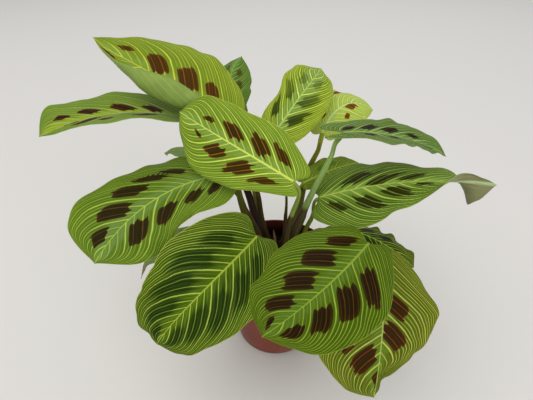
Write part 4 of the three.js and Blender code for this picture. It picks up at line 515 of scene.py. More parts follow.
def build_leaf(name, leaf):
    look = LOOKS[leaf["look"]]
    look = dict(look, **leaf.get("tint", {}))
    look["seed"] = leaf["seed"]
    L, W = leaf["length"], leaf["width"]
    n, m = leaf.get("rows", 104), 22
    x = np.linspace(0, 1, n + 1)
    t = 0.45 * x + 0.55 * (0.5 - 0.5 * np.cos(np.pi * x))
    M, T, A, N = midrib(leaf, t)
    s = np.linspace(0, 1, m + 1) ** 1.2
    rng = np.random.default_rng(leaf["seed"])
    period = look["period"]
    data = {}
    for side, sign in (("left", 1.0), ("right", -1.0)):
        d = leaf[side]
        w = np.maximum(W / 2 * outline(t) * width_factor(t, d["w"]), 1.0 - 0.75 * t)
        # the margin: small notches, folds and an irregular ruffle
        lift = np.zeros(n + 1)
        for sd0, t0, wide, inward, up in DENTS.get(name, []):
            if sd0 == side[0].upper():
                bell = np.exp(-(((t - t0) / wide) ** 2))
                w = w * (1 - inward * bell)
                lift = lift + up * bell
        rf = rng.uniform(2.6, 4.4); ra, rb = rng.uniform(0, 6.28, 2)
        ruffle = np.sin(2 * np.pi * rf * t + ra) + 0.6 * np.sin(2 * np.pi * rf * 1.7 * t + rb)
        inner = smooth01(t, 0.04, 0.16) * (1 - smooth01(t, 0.9, 0.99))
        w = w * (1 + 0.006 * look["ruffle"] * ruffle * inner)
        fold = (d["fold"][0] + d["fold"][1] * t) * rad
        curl = (d["curl"][0] + d["curl"][1] * t) * rad
        sub = np.linspace(0, 1, 201)
        al = fold[:, None] + curl[:, None] * sub[None] ** 1.5
        C = np.concatenate([np.zeros((n + 1, 1)), np.cumsum((np.cos(al[:, 1:]) + np.cos(al[:, :-1])) / 2, 1) / 200], 1)
        S = np.concatenate([np.zeros((n + 1, 1)), np.cumsum((np.sin(al[:, 1:]) + np.sin(al[:, :-1])) / 2, 1) / 200], 1)
        Cs = np.stack([np.interp(s, sub, C[i]) for i in range(n + 1)])
        Ss = np.stack([np.interp(s, sub, S[i]) for i in range(n + 1)])
        P = M[:, None] + w[:, None, None] * (sign * A[:, None] * Cs[..., None] + N[:, None] * Ss[..., None])
        back = leaf["lobe"] * (t / look["lobe_at"]) * np.exp(1 - t / look["lobe_at"])
        P = P - T[:, None] * (back[:, None] * s[None] ** 2)[..., None]
        hook = look["hook"] * smooth01(t, 0.86, 1.05) ** 1.5
        P = P + np.array([0, 0, 1.0]) * hook[:, None, None]
        ang = fold[:, None] + curl[:, None] * s[None] ** 1.5
        nrm = N[:, None] * np.cos(ang)[..., None] - sign * A[:, None] * np.sin(ang)[..., None]
        xm = w[:, None] * s[None]
        # pattern
        phi = t[:, None] - look["sh"] * vein_shift(s)[None]
        bl = [b for b in BLOTCHES.get(name, []) if b[0] == side[0].upper()]
        off = 0.0 if bl else (0.3 if side == "left" else 0.0)
        ph = pattern_phase(phi, [b[1] for b in bl], period) + off
        bf = np.full(phi.shape, -9.0)
        buu = np.full(phi.shape, 3.0)
        bvv = np.zeros(phi.shape)
        for b in bl:
            kb = pattern_phase(np.array([b[1]]), [q[1] for q in bl], period)[0]
            hl, hw = 0.175 * b[3] * look["blen"], (0.22 + 0.15 * min(b[3], 1.15)) * look["bwid"]
            u = (ph - kb) / hw
            # the ends of a blotch are square to its veins
            v = (s[None] - b[2] + 0.95 * (phi - b[1])) / hl
            f = 1 - (np.abs(u) ** 4 + np.abs(v) ** 4) ** 0.25
            better = f > bf
            bf = np.where(better, f, bf)
            bvv = np.where(better, np.broadcast_to(v, f.shape), bvv)
            buu = np.where(better, np.abs(np.broadcast_to(u, f.shape)), buu)
        # relief: the blade swells a little between its veins, and its margin waves
        env = smooth01(s, 0.02, 0.14) * (1 - 0.6 * smooth01(s, 0.8, 1.0))
        g = look["groups"]
        q = np.abs(np.sin(np.pi * g * ph)) ** 0.8 * 0.42 + np.abs(np.sin(np.pi * ph)) * 0.30
        tip = (1 - smooth01(t, 0.9, 1.0)) * smooth01(t, 0.0, 0.06)
        relief = (q - 0.4) * env[None] * tip[:, None] * look["quilt"]
        f1, f2 = rng.uniform(2.2, 3.4), rng.uniform(4.5, 6.5)
        a1, a2 = rng.uniform(0, 6.28, 2)
        wave = (np.sin(2 * np.pi * f1 * t + a1) * 0.9 + np.sin(2 * np.pi * f2 * t + a2) * 0.4) * look["wave"]
        relief = relief + (wave * tip)[:, None] * s[None] ** 2.5
        relief = relief + (0.5 * look["ruffle"] * ruffle * inner)[:, None] * s[None] ** 6 + lift[:, None] * s[None] ** 4
        relief = relief - 0.45 * np.exp(-((xm / 1.1) ** 2)) * tip[:, None]
        if side == "right":
            relief[:, 0] = data["left"]["relief"][:, 0]
        data[side] = dict(P=P, nrm=nrm, relief=relief, xm=xm, ph=ph, bu=buu, bv=bvv)

    cols = 2 * m + 1
    half = 0.22 * (1 - 0.45 * s) + 0.02

    def grid(key):
        a, b = data["right"][key], data["left"][key]
        return np.concatenate([a[:, ::-1], b[:, 1:]], 1)

    P, relief, xm = grid("P"), grid("relief"), grid("xm")
    nrm = grid("nrm")
    nrm[:, m] = N
    # true normals of the relieved surface would shear the thin shell at tight curls,
    # so the shell is offset along the section's own normal
    hh = np.concatenate([half[::-1], half[1:]])
    rib = (1.25 * (1 - t) ** 1.3 + 0.22)[:, None] * np.exp(-((xm / (1.15 - 0.5 * t)[:, None]) ** 2))
    top = P + nrm * (relief + hh[None])[..., None]
    bot = P + nrm * (relief - hh[None] - rib)[..., None]
    nv = (n + 1) * cols
    verts = np.concatenate([top.reshape(-1, 3), bot.reshape(-1, 3)]) * MM
    idx = np.arange(nv).reshape(n + 1, cols)
    faces, fmat, side_of, corner = [], [], [], []
    sgrid = np.concatenate([s[::-1], s[1:]])
    tri = []
    for i in range(n):
        for j in range(cols - 1):
            a, b, c, d = idx[i, j], idx[i + 1, j], idx[i + 1, j + 1], idx[i, j + 1]
            sd = 0 if j < m else 1
            faces.append((a, b, c, d)); fmat.append(0); tri.append((sd, ((i, j), (i + 1, j), (i + 1, j + 1), (i, j + 1))))
            faces.append((a + nv, d + nv, c + nv, b + nv)); fmat.append(1); tri.append((sd, ((i, j), (i, j + 1), (i + 1, j + 1), (i + 1, j))))
    loop = [(i, 0) for i in range(n + 1)] + [(n, j) for j in range(1, cols)] + [(i, cols - 1) for i in range(n - 1, -1, -1)] + [(0, j) for j in range(cols - 2, 0, -1)]
    for a, b in zip(loop, loop[1:] + loop[:1]):
        ia, ib = idx[a], idx[b]
        sd = 0 if (a[1] + b[1]) / 2 < m else 1
        faces.append((ia + nv, ib + nv, ib, ia)); fmat.append(0); tri.append((sd, (a, b, b, a)))
    mats = [leaf_top(name, look, L), leaf_under(name, look, L)]
    ob = make_object("blade_" + name, verts, faces, mats, fmat)
    me = ob.data
    # which way round the faces go
    vol = 0.0
    va = verts[np.array(faces)]
    vol = np.einsum("ij,ij->i", va[:, 0], np.cross(va[:, 1], va[:, 2]) + np.cross(va[:, 2], va[:, 3])).sum()
    flip = vol < 0
    fields = {
        "ph": [np.concatenate([data["right"]["ph"][:, ::-1], np.zeros((n + 1, m))], 1), np.concatenate([np.zeros((n + 1, m)), data["left"]["ph"]], 1)],
        "bu": [np.concatenate([data["right"]["bu"][:, ::-1], np.zeros((n + 1, m))], 1), np.concatenate([np.zeros((n + 1, m)), data["left"]["bu"]], 1)],
        "bv": [np.concatenate([data["right"]["bv"][:, ::-1], np.zeros((n + 1, m))], 1), np.concatenate([np.zeros((n + 1, m)), data["left"]["bv"]], 1)],
        "sv": [np.broadcast_to(sgrid, (n + 1, cols))] * 2,
        "tv": [np.broadcast_to(t[:, None], (n + 1, cols))] * 2,
        "xm": [xm] * 2,
    }
    sd = np.repeat(np.array([q[0] for q in tri]), 4)
    ij = np.array([q[1] for q in tri]).reshape(-1, 2)
    for key, (fa, fb) in fields.items():
        val = np.where(sd == 0, fa[ij[:, 0], ij[:, 1]], fb[ij[:, 0], ij[:, 1]])
        at = me.attributes.new(key, "FLOAT", "CORNER")
        at.data.foreach_set("value", val.astype(np.float32))
    if flip:
        me.flip_normals()
    node = "leaf_" + name
    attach(ob, "root")
    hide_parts(node)
    return ob


# ---------------------------------------------------------------- stems
def spline(pts, count):
    P = np.array(pts, float)
    P = np.vstack([2 * P[0] - P[1], P, 2 * P[-1] - P[-2]])
    d = np.maximum(np.linalg.norm(np.diff(P, axis=0), axis=1) ** 0.5, 1e-6)
    k = np.concatenate([[0], np.cumsum(d)])
    out = []
    for i in range(len(P) - 3):
        t0, t1, t2, t3 = k[i:i + 4]
        for t in np.linspace(t1, t2, 20, endpoint=(i == len(P) - 4)):
            A1 = (t1 - t) / (t1 - t0) * P[i] + (t - t0) / (t1 - t0) * P[i + 1]
            A2 = (t2 - t) / (t2 - t1) * P[i + 1] + (t - t1) / (t2 - t1) * P[i + 2]
            A3 = (t3 - t) / (t3 - t2) * P[i + 2] + (t - t2) / (t3 - t2) * P[i + 3]
            B1 = (t2 - t) / (t2 - t0) * A1 + (t - t0) / (t2 - t0) * A2
            B2 = (t3 - t) / (t3 - t1) * A2 + (t - t1) / (t3 - t1) * A3
            out.append((t2 - t) / (t2 - t1) * B1 + (t - t1) / (t2 - t1) * B2)
    out = np.array(out)
    L = np.concatenate([[0], np.cumsum(np.linalg.norm(np.diff(out, axis=0), axis=1))])
    s = np.linspace(0, L[-1], count)
    return np.stack([np.interp(s, L, out[:, i]) for i in range(3)], 1), L[-1]


def stem_material(name, st):
    k = Nodes("stalk_" + name)
    f, a = k.attr("fs"), k.attr("as")
    obj = k.obj()
    streak = k.noise(k.vec(k.math("MULTIPLY", a, 14.0), k.math("MULTIPLY", f, 5.0), st["seed"]), 1.0, 3.0, 0.6)
    big = k.noise(obj, 70.0, 3.0)
    spots = k.noise(obj, 420.0, 2.0)
    stripe = k.noise(k.vec(k.math("MULTIPLY", a, 24.0), k.math("MULTIPLY", f, 2.2), st["seed"] + 4.0), 1.0, 2.0, 0.6)
    tint = st["tint"]
    sheath = k.step(k.math("ADD", f, k.math("MULTIPLY", k.math("SUBTRACT", streak, 0.5), 0.10)), tint - 0.02, tint + 0.015, 1.0, 0.0)
    green = k.mix(k.step(streak, 0.3, 0.75), lin(st["green"]), lin([0.72 * v for v in st["green"]]))
    red = k.mix(k.step(streak, 0.25, 0.7), lin(st["red"]), lin(st["red2"]))
    # the sheath is green on one side and flushed dark on the other
    face = k.step(k.math("ADD", a, k.math("MULTIPLY", k.math("SUBTRACT", big, 0.5), 1.2)), 1.1, 1.75, 0.0, st["olive"])
    red = k.mix(face, red, lin([0.72 * v for v in st["green"]]))
    red = k.mix(k.step(big, 0.45, 0.75, 0.0, 0.5), red, lin([0.55 * v for v in st["red"]]))
    red = k.mix(k.step(stripe, 0.46, 0.62, 0.0, 0.55), red, lin([0.45 * v for v in st["red2"]]))
    green = k.mix(k.step(stripe, 0.46, 0.66, 0.0, 0.35), green, lin([0.62 * v for v in st["green"]]))
    col = k.mix(sheath, green, red)
    # a redder blush low on the stalk, and a darker joint under the blade
    col = k.mix(k.math("MULTIPLY", k.step(f, tint, min(0.97, tint + 0.35), st["blush"], 0.0), k.step(big, 0.3, 0.7, 0.5, 1.0)), col, lin(st["red"]))
    col = k.mix(k.step(f, 0.905, 0.945, 0.0, 0.75), col, lin(st["joint"]))
    col = k.mix(k.math("MULTIPLY", k.step(spots, 0.62, 0.72), 0.25), col, lin([0.5 * v for v in st["red"]]))
    low = k.step(f, 0.0, 0.10, 0.75, 0.0)
    col = k.mix(low, col, lin((38, 26, 20)))
    k.set("Base Color", col)
    k.set("Roughness", k.step(streak, 0.2, 0.8, 0.42, 0.58))
    k.set("Specular IOR Level", 0.13)
    k.bump(k.math("ADD", streak, k.math("MULTIPLY", spots, 0.3)), 0.0002, 0.6)
    return k.mat


def build_stem(name, st):
    count, sides = 84, 20
    C, length = spline(st["points"], count)
    f = np.linspace(0, 1, count)
    low, up, sh = st["rLow"], st["rTop"], st["sheath"]
    r = up + (low - up) * (1 - 1 / (1 + np.exp(-(f - sh) / 0.05)))
    r = r * (1 - 0.28 * smooth01(f, 0.6, 0.92))
    r = r * (1 + 0.17 * np.exp(-(((f - 0.95) / 0.03) ** 2)) + 0.10 * np.exp(-((f / 0.05) ** 2)))
    T = np.gradient(C, axis=0)
    T /= np.linalg.norm(T, axis=1)[:, None]
    ref = np.array([0.3, 1.0, 0.1])
    a = np.cross(T[0], ref); a /= np.linalg.norm(a)
    A = [a]
    for i in range(1, count):
        a = A[-1] - T[i] * (A[-1] @ T[i]); a /= np.linalg.norm(a); A.append(a)
    A = np.array(A); B = np.cross(T, A)
    th = np.linspace(0, 2 * np.pi, sides, endpoint=False)
    # the sheath wraps round the stalk and overlaps itself: one side has a low step,
    # and its lip stands off where it ends
    wrap = ((th / (2 * np.pi)) + 0.15 * st["seed"]) % 1.0
    ridge = np.where(wrap < 0.5, 1 - wrap / 0.5, 0.0)
    sheathed = 1 / (1 + np.exp((f - sh) / 0.012))
    lip = np.exp(-(((f - sh + 0.012) / 0.018) ** 2))
    R = r[:, None] * (1 + 0.11 * sheathed[:, None] * ridge[None] + 0.09 * lip[:, None] * (0.4 + ridge[None]))
    # shallow groove along the upper side of the petiole
    R = R * (1 - 0.08 * (1 - sheathed)[:, None] * np.exp(-(((th - np.pi) / 0.5) ** 2))[None])
    # slightly flattened sheath
    V = C[:, None] + R[..., None] * (np.cos(th)[None, :, None] * A[:, None] + 0.92 * np.sin(th)[None, :, None] * B[:, None])
    # the foot goes just under the soil's crumbs
    V[0, :, 2] = SOIL_Z / MM - 1.2
    c0 = C[0].copy(); c0[2] = SOIL_Z / MM - 1.2
    c1 = C[-1] + T[-1] * 0.5
    verts = np.concatenate([V.reshape(-1, 3), c0[None], c1[None]]) * MM
    faces, fv, av = [], [], []
    for i in range(count - 1):
        for j in range(sides):
            j2 = (j + 1) % sides
            faces.append((i * sides + j, i * sides + j2, (i + 1) * sides + j2, (i + 1) * sides + j))
    nb = count * sides
    for j in range(sides):
        j2 = (j + 1) % sides
        faces.append((nb, j2, j))
        faces.append((nb + 1, (count - 1) * sides + j, (count - 1) * sides + j2))
    ob = make_object("stalk_" + name, verts, faces, [stem_material(name, st)])
    me = ob.data
    fa = np.concatenate([np.repeat(f, sides), [0, 1]])
    aa = np.concatenate([np.tile(np.abs(np.sin(th / 2 + 0.2)) * 2, count), [0.5, 0.5]])
    at = me.attributes.new("fs", "FLOAT", "POINT"); at.data.foreach_set("value", fa.astype(np.float32))
    at = me.attributes.new("as", "FLOAT", "POINT"); at.data.foreach_set("value", aa.astype(np.float32))
    vol = 0.0
    for q in faces[:sides * 4]:
        pass
    va = np.array([verts[list(q[:3])] for q in faces])
    c = verts.mean(0)
    vol = np.einsum("ij,ij->i", va[:, 0] - c, np.cross(va[:, 1] - c, va[:, 2] - c)).sum()
    if vol < 0:
        me.flip_normals()
    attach(ob, "root")
    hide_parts("stem_" + name)
    return ob


# ---------------------------------------------------------------- pot, soil, sheath
SOIL_Z = 0.100


def lathe(name, profile, steps, mats, ripple=None):
    prof = np.array(profile, float)
    th = np.linspace(0, 2 * np.pi, steps, endpoint=False)
    verts, faces = [], []
    ring_of = []
    for r, z in prof:
        if r < 1e-9:
            ring_of.append([len(verts)])
            verts.append((0, 0, z))
        else:
            ring_of.append(list(range(len(verts), len(verts) + steps)))
            verts += [(r * math.cos(a), r * math.sin(a), z) for a in th]
    for a, b in zip(ring_of, ring_of[1:]):
        for j in range(steps):
            j2 = (j + 1) % steps
            if len(a) == 1:
                faces.append((a[0], b[j2], b[j]))
            elif len(b) == 1:
                faces.append((a[j], a[j2], b[0]))
            else:
                faces.append((a[j], a[j2], b[j2], b[j]))
    return make_object(name, np.array(verts) * MM, faces, mats)


def round_profile(points, radii, per=5):
    """Points of a profile with each corner rounded by its radius."""
    out = []
    for i, (p, r) in enumerate(zip(points, radii)):
        p = np.array(p, float)
        if r <= 0 or i in (0, len(points) - 1):
            out.append(p); continue
        a = np.array(points[i - 1], float) - p; b = np.array(points[i + 1], float) - p
        la, lb = np.linalg.norm(a), np.linalg.norm(b)
        r = min(r, la * 0.48, lb * 0.48)
        p0, p1 = p + a / la * r, p + b / lb * r
        for u in np.linspace(0, 1, per):
            out.append((1 - u) ** 2 * p0 + 2 * u * (1 - u) * p + u * u * p1)
    return out


def pot_material():
    k = Nodes("terracotta_plastic")
    obj = k.obj()
    n1 = k.noise(obj, 22.0, 4.0, 0.6)
    n2 = k.noise(obj, 900.0, 2.0, 0.5)
    sep = k.nt.nodes.new("ShaderNodeSeparateXYZ")
    k.nt.links.new(obj, sep.inputs[0])
    z = sep.outputs[2]
    up = k.noise(k.vec(k.math("MULTIPLY", sep.outputs[0], 160.0), k.math("MULTIPLY", sep.outputs[1], 160.0), k.math("MULTIPLY", z, 9.0)), 1.0, 3.0, 0.6)
    col = k.mix(k.step(n1, 0.3, 0.75), lin((122, 53, 34)), lin((106, 43, 28)))
    col = k.mix(k.step(up, 0.55, 0.8, 0.0, 0.35), col, lin((134, 66, 45)))
    # dust and dried splashes low down
    dust = k.math("MULTIPLY", k.step(n1, 0.42, 0.7), k.step(z, 0.0, 0.035, 0.40, 0.0))
    col = k.mix(dust, col, lin((156, 112, 90)))
    # the inside wall is painted dark: painted shade, as the leaves and the rim shade the inside of the pot
    r2 = k.math("SQRT", k.math("ADD", k.math("MULTIPLY", sep.outputs[0], sep.outputs[0]), k.math("MULTIPLY", sep.outputs[1], sep.outputs[1])))
    wall = k.math("ADD", k.math("MULTIPLY", z, 0.1602), 0.0448 - 0.0024 * 0.1602 - 0.0007)
    inside = k.step(k.math("SUBTRACT", wall, r2), -0.0002, 0.0002)
    inner_wall_shade = k.mix(k.step(n2, 0.3, 0.7), lin((26, 12, 8)), lin((36, 15, 10)))
    inner_wall_shade = k.mix(k.step(up, 0.35, 0.7, 0.0, 0.8), inner_wall_shade, lin((16, 9, 7)))
    # the painted shade eases off just under the rim, where light reaches the wall
    inner_wall_shade = k.mix(k.step(z, 0.104, 0.116, 0.0, 0.85), inner_wall_shade, lin((88, 30, 22)))
    col = k.mix(inside, col, inner_wall_shade)
    k.set("Base Color", col)
    k.set("Roughness", k.step(n1, 0.25, 0.8, 0.40, 0.55))
    k.set("Specular IOR Level", 0.3)
    k.bump(k.math("ADD", k.math("MULTIPLY", n2, 0.5), k.math("MULTIPLY", up, 0.5)), 0.00012, 0.55)
    return k.mat


def soil_material():
    k = Nodes("potting_soil")
    obj = k.obj()
    n1 = k.noise(obj, 130.0, 5.0, 0.65)
    n2 = k.noise(obj, 620.0, 3.0, 0.6)
    # dark wet peat, its colour made darker still as painted shade: the leaves shade the soil deeply
    col = k.mix(k.step(n1, 0.3, 0.7), lin((15, 10, 7)), lin((31, 21, 15)))
    col = k.mix(k.step(n2, 0.5, 0.75, 0.0, 0.6), col, lin((9, 6, 5)))
    k.set("Base Color", col)
    k.set("Roughness", 0.95)
    k.set("Specular IOR Level", 0.12)
    k.bump(k.math("ADD", n1, k.math("MULTIPLY", n2, 0.5)), 0.0015, 0.9)
    return k.mat


def crumb_material(name, a, b, rough):
    k = Nodes(name)
    obj = k.obj()
    n1 = k.noise(obj, 260.0, 4.0, 0.6)
    col = k.mix(k.step(n1, 0.3, 0.7), lin(a), lin(b))
    k.set("Base Color", col)
    k.set("Roughness", rough)
    k.bump(n1, 0.0006, 0.8)
    return k.mat


def build_pot():
    H, RR, BR, wall, drop, step, foot = 119.0, 65.0, 44.8, 1.25, 10.5, 3.2, 2.4
    tz = H - drop
    tr = RR - step
    k = (tr - BR) / (tz - foot)
    o = lambda z: BR + k * (z - foot)
    pts = [(0, 0.9), (BR - 9, 0.9), (BR - 8, 0.0), (BR - 2.4, 0), (BR, foot), (o(30), 30), (o(31), 31.0), (o(80), 80), (tr, tz),
           (RR - 0.1, tz + 0.5), (RR, H - 0.6), (RR - 2.3, H), (RR - 2.9, H - 4.0), (o(tz) - wall, tz - 2.0), (o(55) - wall, 55), (o(3) - wall, 3.2), (o(3) - wall - 2, 1.9), (0, 1.9)]
    rr = [0, 0.8, 0.8, 1.6, 1.4, 0, 0, 0, 0.5, 0.9, 1.1, 0.9, 1.5, 1.5, 0, 1.0, 1.0, 0]
    prof = round_profile(pts, rr)
    ob = lathe("nursery_pot", prof, 160, [pot_material()])
    # drain holes through the floor
    cutter = bpy.data.meshes.new("drain_cut")
    verts, faces = [], []
    for i in range(8):
        a = 2 * math.pi * (i + 0.5) / 8
        cx, cy = 31 * math.cos(a) * MM, 31 * math.sin(a) * MM
        b0 = len(verts)
        for z in (-0.004, 0.006):
            for j in range(20):
                q = 2 * math.pi * j / 20
                verts.append((cx + 4.2 * MM * math.cos(q), cy + 4.2 * MM * math.sin(q), z))
        faces.append(tuple(b0 + j for j in range(19, -1, -1)))
        faces.append(tuple(b0 + 20 + j for j in range(20)))
        for j in range(20):
            j2 = (j + 1) % 20
            faces.append((b0 + j, b0 + j2, b0 + 20 + j2, b0 + 20 + j))
    cutter.from_pydata(verts, [], faces)
    cut = bpy.data.objects.new("drain_cut", cutter)
    scene.collection.objects.link(cut)
    mod = ob.modifiers.new("drain", "BOOLEAN")
    mod.operation = "DIFFERENCE"
    mod.object = cut
    mod.solver = "EXACT"
    bpy.context.view_layer.update()
    dg = bpy.context.evaluated_depsgraph_get()
    me = bpy.data.meshes.new_from_object(ob.evaluated_get(dg))
    ob.modifiers.clear()
    old = ob.data
    ob.data = me
    bpy.data.meshes.remove(old)
    bpy.data.objects.remove(cut)
    me.polygons.foreach_set("use_smooth", np.full(len(me.polygons), True))
    me.set_sharp_from_angle(angle=38 * rad)
    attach(ob, "root"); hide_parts("pot")
    return ob


def icosa(seed):
    rng = np.random.default_rng(seed)
    p = (1 + 5 ** 0.5) / 2
    v = np.array([(-1, p, 0), (1, p, 0), (-1, -p, 0), (1, -p, 0), (0, -1, p), (0, 1, p), (0, -1, -p), (0, 1, -p), (p, 0, -1), (p, 0, 1), (-p, 0, -1), (-p, 0, 1)], float)
    v /= np.linalg.norm(v, axis=1)[:, None]
    f = [(0, 11, 5), (0, 5, 1), (0, 1, 7), (0, 7, 10), (0, 10, 11), (1, 5, 9), (5, 11, 4), (11, 10, 2), (10, 7, 6), (7, 1, 8), (3, 9, 4), (3, 4, 2), (3, 2, 6), (3, 6, 8), (3, 8, 9), (4, 9, 5), (2, 4, 11), (6, 2, 10), (8, 6, 7), (9, 8, 1)]
    v = v * rng.uniform(0.72, 1.15, (12, 1))
    return v, f


def build_soil(stem_feet):
    rng = np.random.default_rng(11)
    R = 57.6
    rings, steps = 46, 120
    verts = [(0, 0, 0)]
    rad_ = np.linspace(0, 1, rings + 1)[1:] * R
    th = np.linspace(0, 2 * np.pi, steps, endpoint=False)
    ph = rng.uniform(0, 6.28, (14, 2)); kk = rng.uniform(0.12, 0.95, (14, 2)) * rng.choice([-1, 1], (14, 2)); am = 0.9 / (1 + 3 * np.linalg.norm(kk, axis=1))

    def hgt(x, y):
        h = 0
        for i in range(14):
            h = h + am[i] * np.sin(kk[i, 0] * x + ph[i, 0]) * np.cos(kk[i, 1] * y + ph[i, 1])
        for fx, fy in stem_feet:
            h = h + 1.0 * np.exp(-((x - fx) ** 2 + (y - fy) ** 2) / 30.0)
        return h

    for r in rad_:
        for a in th:
            verts.append((r * math.cos(a), r * math.sin(a), 0))
    V = np.array(verts, float)
    V[:, 2] = SOIL_Z / MM + hgt(V[:, 0], V[:, 1]) * (1 - 0.5 * smooth01(np.hypot(V[:, 0], V[:, 1]), 50, 57.6)) - 0.1 + rng.uniform(-0.25, 0.25, len(V))
    faces = []
    for j in range(steps):
        faces.append((0, 1 + j, 1 + (j + 1) % steps))
    for i in range(rings - 1):
        for j in range(steps):
            j2 = (j + 1) % steps
            a, b = 1 + i * steps, 1 + (i + 1) * steps
            faces.append((a + j, b + j, b + j2, a + j2))
    # sides and base
    last = 1 + (rings - 1) * steps
    zs = [(57.0, 92.0), (50.5, 50.0), (43.2, 3.6), (41.0, 2.2)]
    prev = last
    allv = [V]
    count = len(V)
    for r, z in zs:
        ring = np.stack([r * np.cos(th), r * np.sin(th), np.full(steps, z)], 1)
        allv.append(ring)
        for j in range(steps):
            j2 = (j + 1) % steps
            faces.append((prev + j, count + j, count + j2, prev + j2))
        prev = count
        count += steps
    allv.append(np.array([[0, 0, 2.2]]))
    for j in range(steps):
        faces.append((prev + j, count, prev + (j + 1) % steps))
    ob = make_object("soil", np.concatenate(allv) * MM, faces, [soil_material()])
    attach(ob, "root"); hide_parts("potting_soil")

    # crumbs, bark chips and a few pale grains lying on it
    vs, fs, fm = [], [], []
    base = [icosa(i) for i in range(9)]
    cnt = 0
    n = 1500
    for i in range(n):
        r = 55.2 * math.sqrt(rng.uniform(0, 1)); a = rng.uniform(0, 2 * np.pi)
        x, y = r * math.cos(a), r * math.sin(a)
        if any((x - fx) ** 2 + (y - fy) ** 2 < 12 for fx, fy in stem_feet):
            continue
        u = rng.uniform()
        kind = 0 if u < 0.80 else (1 if u < 0.955 else 2)
        size = {0: rng.uniform(0.6, 2.0), 1: rng.uniform(1.0, 3.0), 2: rng.uniform(0.7, 1.6)}[kind]
        v, f = base[rng.integers(9)]
        sc = size * (np.array([1, rng.uniform(0.5, 1), rng.uniform(0.35, 0.8)]) if kind != 1 else np.array([1.2, rng.uniform(0.35, 0.7), rng.uniform(0.18, 0.35)]))
        az = rng.uniform(0, 6.28); tl = rng.uniform(-0.5, 0.5)
        ca, sa, ct, st_ = math.cos(az), math.sin(az), math.cos(tl), math.sin(tl)
        w = v * sc
        w = np.stack([w[:, 0] * ct + w[:, 2] * st_, w[:, 1], -w[:, 0] * st_ + w[:, 2] * ct], 1)
        w = np.stack([w[:, 0] * ca - w[:, 1] * sa, w[:, 0] * sa + w[:, 1] * ca, w[:, 2]], 1)
        w = w + np.array([x, y, SOIL_Z / MM + hgt(x, y) + sc[2] * 0.45])
        vs.append(w); fs += [tuple(q + cnt for q in t3) for t3 in f]; fm += [kind] * len(f)
        cnt += 12
    ob2 = make_object("soil_crumbs", np.concatenate(vs) * MM, fs,
                      [crumb_material("peat_crumb", (17, 12, 9), (36, 25, 18), 0.95), crumb_material("bark_chip", (38, 23, 15), (62, 40, 27), 0.85), crumb_material("pale_grain", (92, 84, 70), (122, 114, 98), 0.9)], fm, smooth=False)
    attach(ob2, "root")
    return ob


def build_dry_sheath():
    k = Nodes("dry_sheath")
    obj = k.obj()
    f = k.attr("fs")
    st = k.noise(k.vec(k.math("MULTIPLY", k.attr("as"), 18.0), k.math("MULTIPLY", f, 3.0), 0.0), 1.0, 3.0, 0.6)
    col = k.mix(k.step(st, 0.3, 0.7), lin((150, 116, 80)), lin((98, 66, 42)))
    col = k.mix(k.step(f, 0.0, 0.3, 0.7, 0.0), col, lin((58, 36, 26)))
    k.set("Base Color", col)
    k.set("Roughness", 0.8)
    k.bump(st, 0.0005, 0.8)
    rows, sides = 30, 16
    base = np.array([1.6, 10.9, SOIL_Z / MM - 0.6]); tip = np.array([-2.8, 15.0, 142.6])
    V = []
    for i in range(rows):
        u = i / (rows - 1)
        c = base * (1 - u) + tip * u + np.array([0.5 * math.sin(u * 3), 0, 0])
        rr = 3.3 * (1 - u) ** 0.7 * (1 + 0.1 * math.sin(9 * u)) + 0.12
        for j in range(sides):
            a = 2 * math.pi * j / sides
            # a rolled sheet: hollow on one side
            dent = 1 - 0.45 * math.exp(-((a - 4.7) / 0.7) ** 2)
            V.append(c + np.array([rr * math.cos(a), rr * 0.55 * math.sin(a) * dent, 0]))
    V.append(base); V.append(tip + np.array([0, 0, 0.3]))
    faces = []
    for i in range(rows - 1):
        for j in range(sides):
            j2 = (j + 1) % sides
            faces.append((i * sides + j, i * sides + j2, (i + 1) * sides + j2, (i + 1) * sides + j))
    nb = rows * sides
    for j in range(sides):
        j2 = (j + 1) % sides
        faces.append((nb, j2, j)); faces.append((nb + 1, (rows - 1) * sides + j, (rows - 1) * sides + j2))
    ob = make_object("dry_leaf_sheath", np.array(V) * MM, faces, [k.mat])
    me = ob.data
    at = me.attributes.new("fs", "FLOAT", "POINT"); at.data.foreach_set("value", np.concatenate([np.repeat(np.linspace(0, 1, rows), sides), [0, 1]]).astype(np.float32))
    at = me.attributes.new("as", "FLOAT", "POINT"); at.data.foreach_set("value", np.concatenate([np.tile(np.abs(np.linspace(-1, 1, sides)), rows), [0, 0]]).astype(np.float32))
    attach(ob, "root"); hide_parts("dry_sheath")


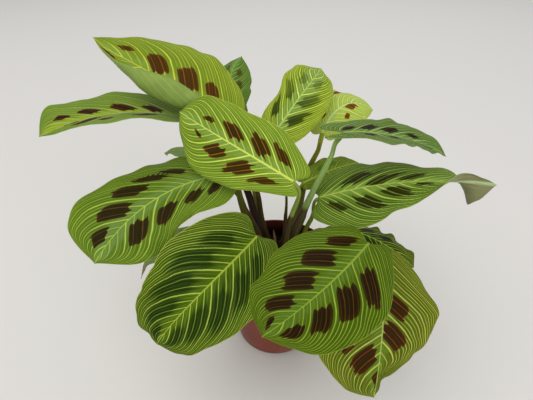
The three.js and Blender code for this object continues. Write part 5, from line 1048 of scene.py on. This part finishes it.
for name, leaf in LEAVES.items():
    build_leaf(name, leaf)
for name, st in STEMS.items():
    build_stem(name, st)
build_pot()
build_soil([(st["points"][0][0], st["points"][0][1]) for st in STEMS.values()])
build_dry_sheath()

# ---------------------------------------------------------------- floor, light, camera
fm = Nodes("floor")
fm.set("Base Color", lin((219, 216, 211)))
fm.set("Roughness", 0.55)
fm.set("Specular IOR Level", 0.3)
fl = bpy.data.meshes.new("floor")
fl.from_pydata([(-9, -9, 0), (9, -9, 0), (9, 9, 0), (-9, 9, 0)], [], [(0, 1, 2, 3)])
fl.materials.append(fm.mat)
floor = bpy.data.objects.new("floor", fl)
floor.location.z = -0.0002
scene.collection.objects.link(floor)

world = bpy.data.worlds.new("studio")
scene.world = world
world.use_nodes = True
wn = world.node_tree
bg = wn.nodes["Background"]
bg.inputs[0].default_value = (0.97, 0.98, 1.0, 1)
bg.inputs[1].default_value = 0.63


def area(name, loc, target, size, power, color):
    li = bpy.data.lights.new(name, "AREA")
    li.shape = "RECTANGLE"
    li.size, li.size_y = size
    li.energy = power
    li.color = color
    ob = bpy.data.objects.new(name, li)
    ob.location = loc
    from mathutils import Vector
    ob.rotation_euler = (Vector(target) - Vector(loc)).to_track_quat("-Z", "Y").to_euler()
    scene.collection.objects.link(ob)


area("key", (-1.3, -0.9, 3.2), (0, 0, 0.15), (3.6, 3.6), 52.0, (1.0, 0.985, 0.96))
area("fill", (1.3, -2.5, 1.4), (0, 0, 0.10), (2.4, 2.0), 30.0, (0.97, 0.98, 1.0))
area("back", (0.5, 2.8, 2.4), (0, 0, 0.15), (2.6, 1.6), 15.0, (1.0, 1.0, 1.0))

cam_data = bpy.data.cameras.new("camera")
cam_data.sensor_width = 36.0
cam_data.lens = 36.0 * 400.0 / 533.0
cam_data.clip_start = 0.01
cam = bpy.data.objects.new("camera", cam_data)
cam.location = (-0.0105, -0.334, 0.420)
cam.rotation_euler = ((90 - 34.3) * rad, 0, 0)
scene.collection.objects.link(cam)
scene.camera = cam
scene.view_settings.view_transform = "Standard"
scene.view_settings.look = "None"
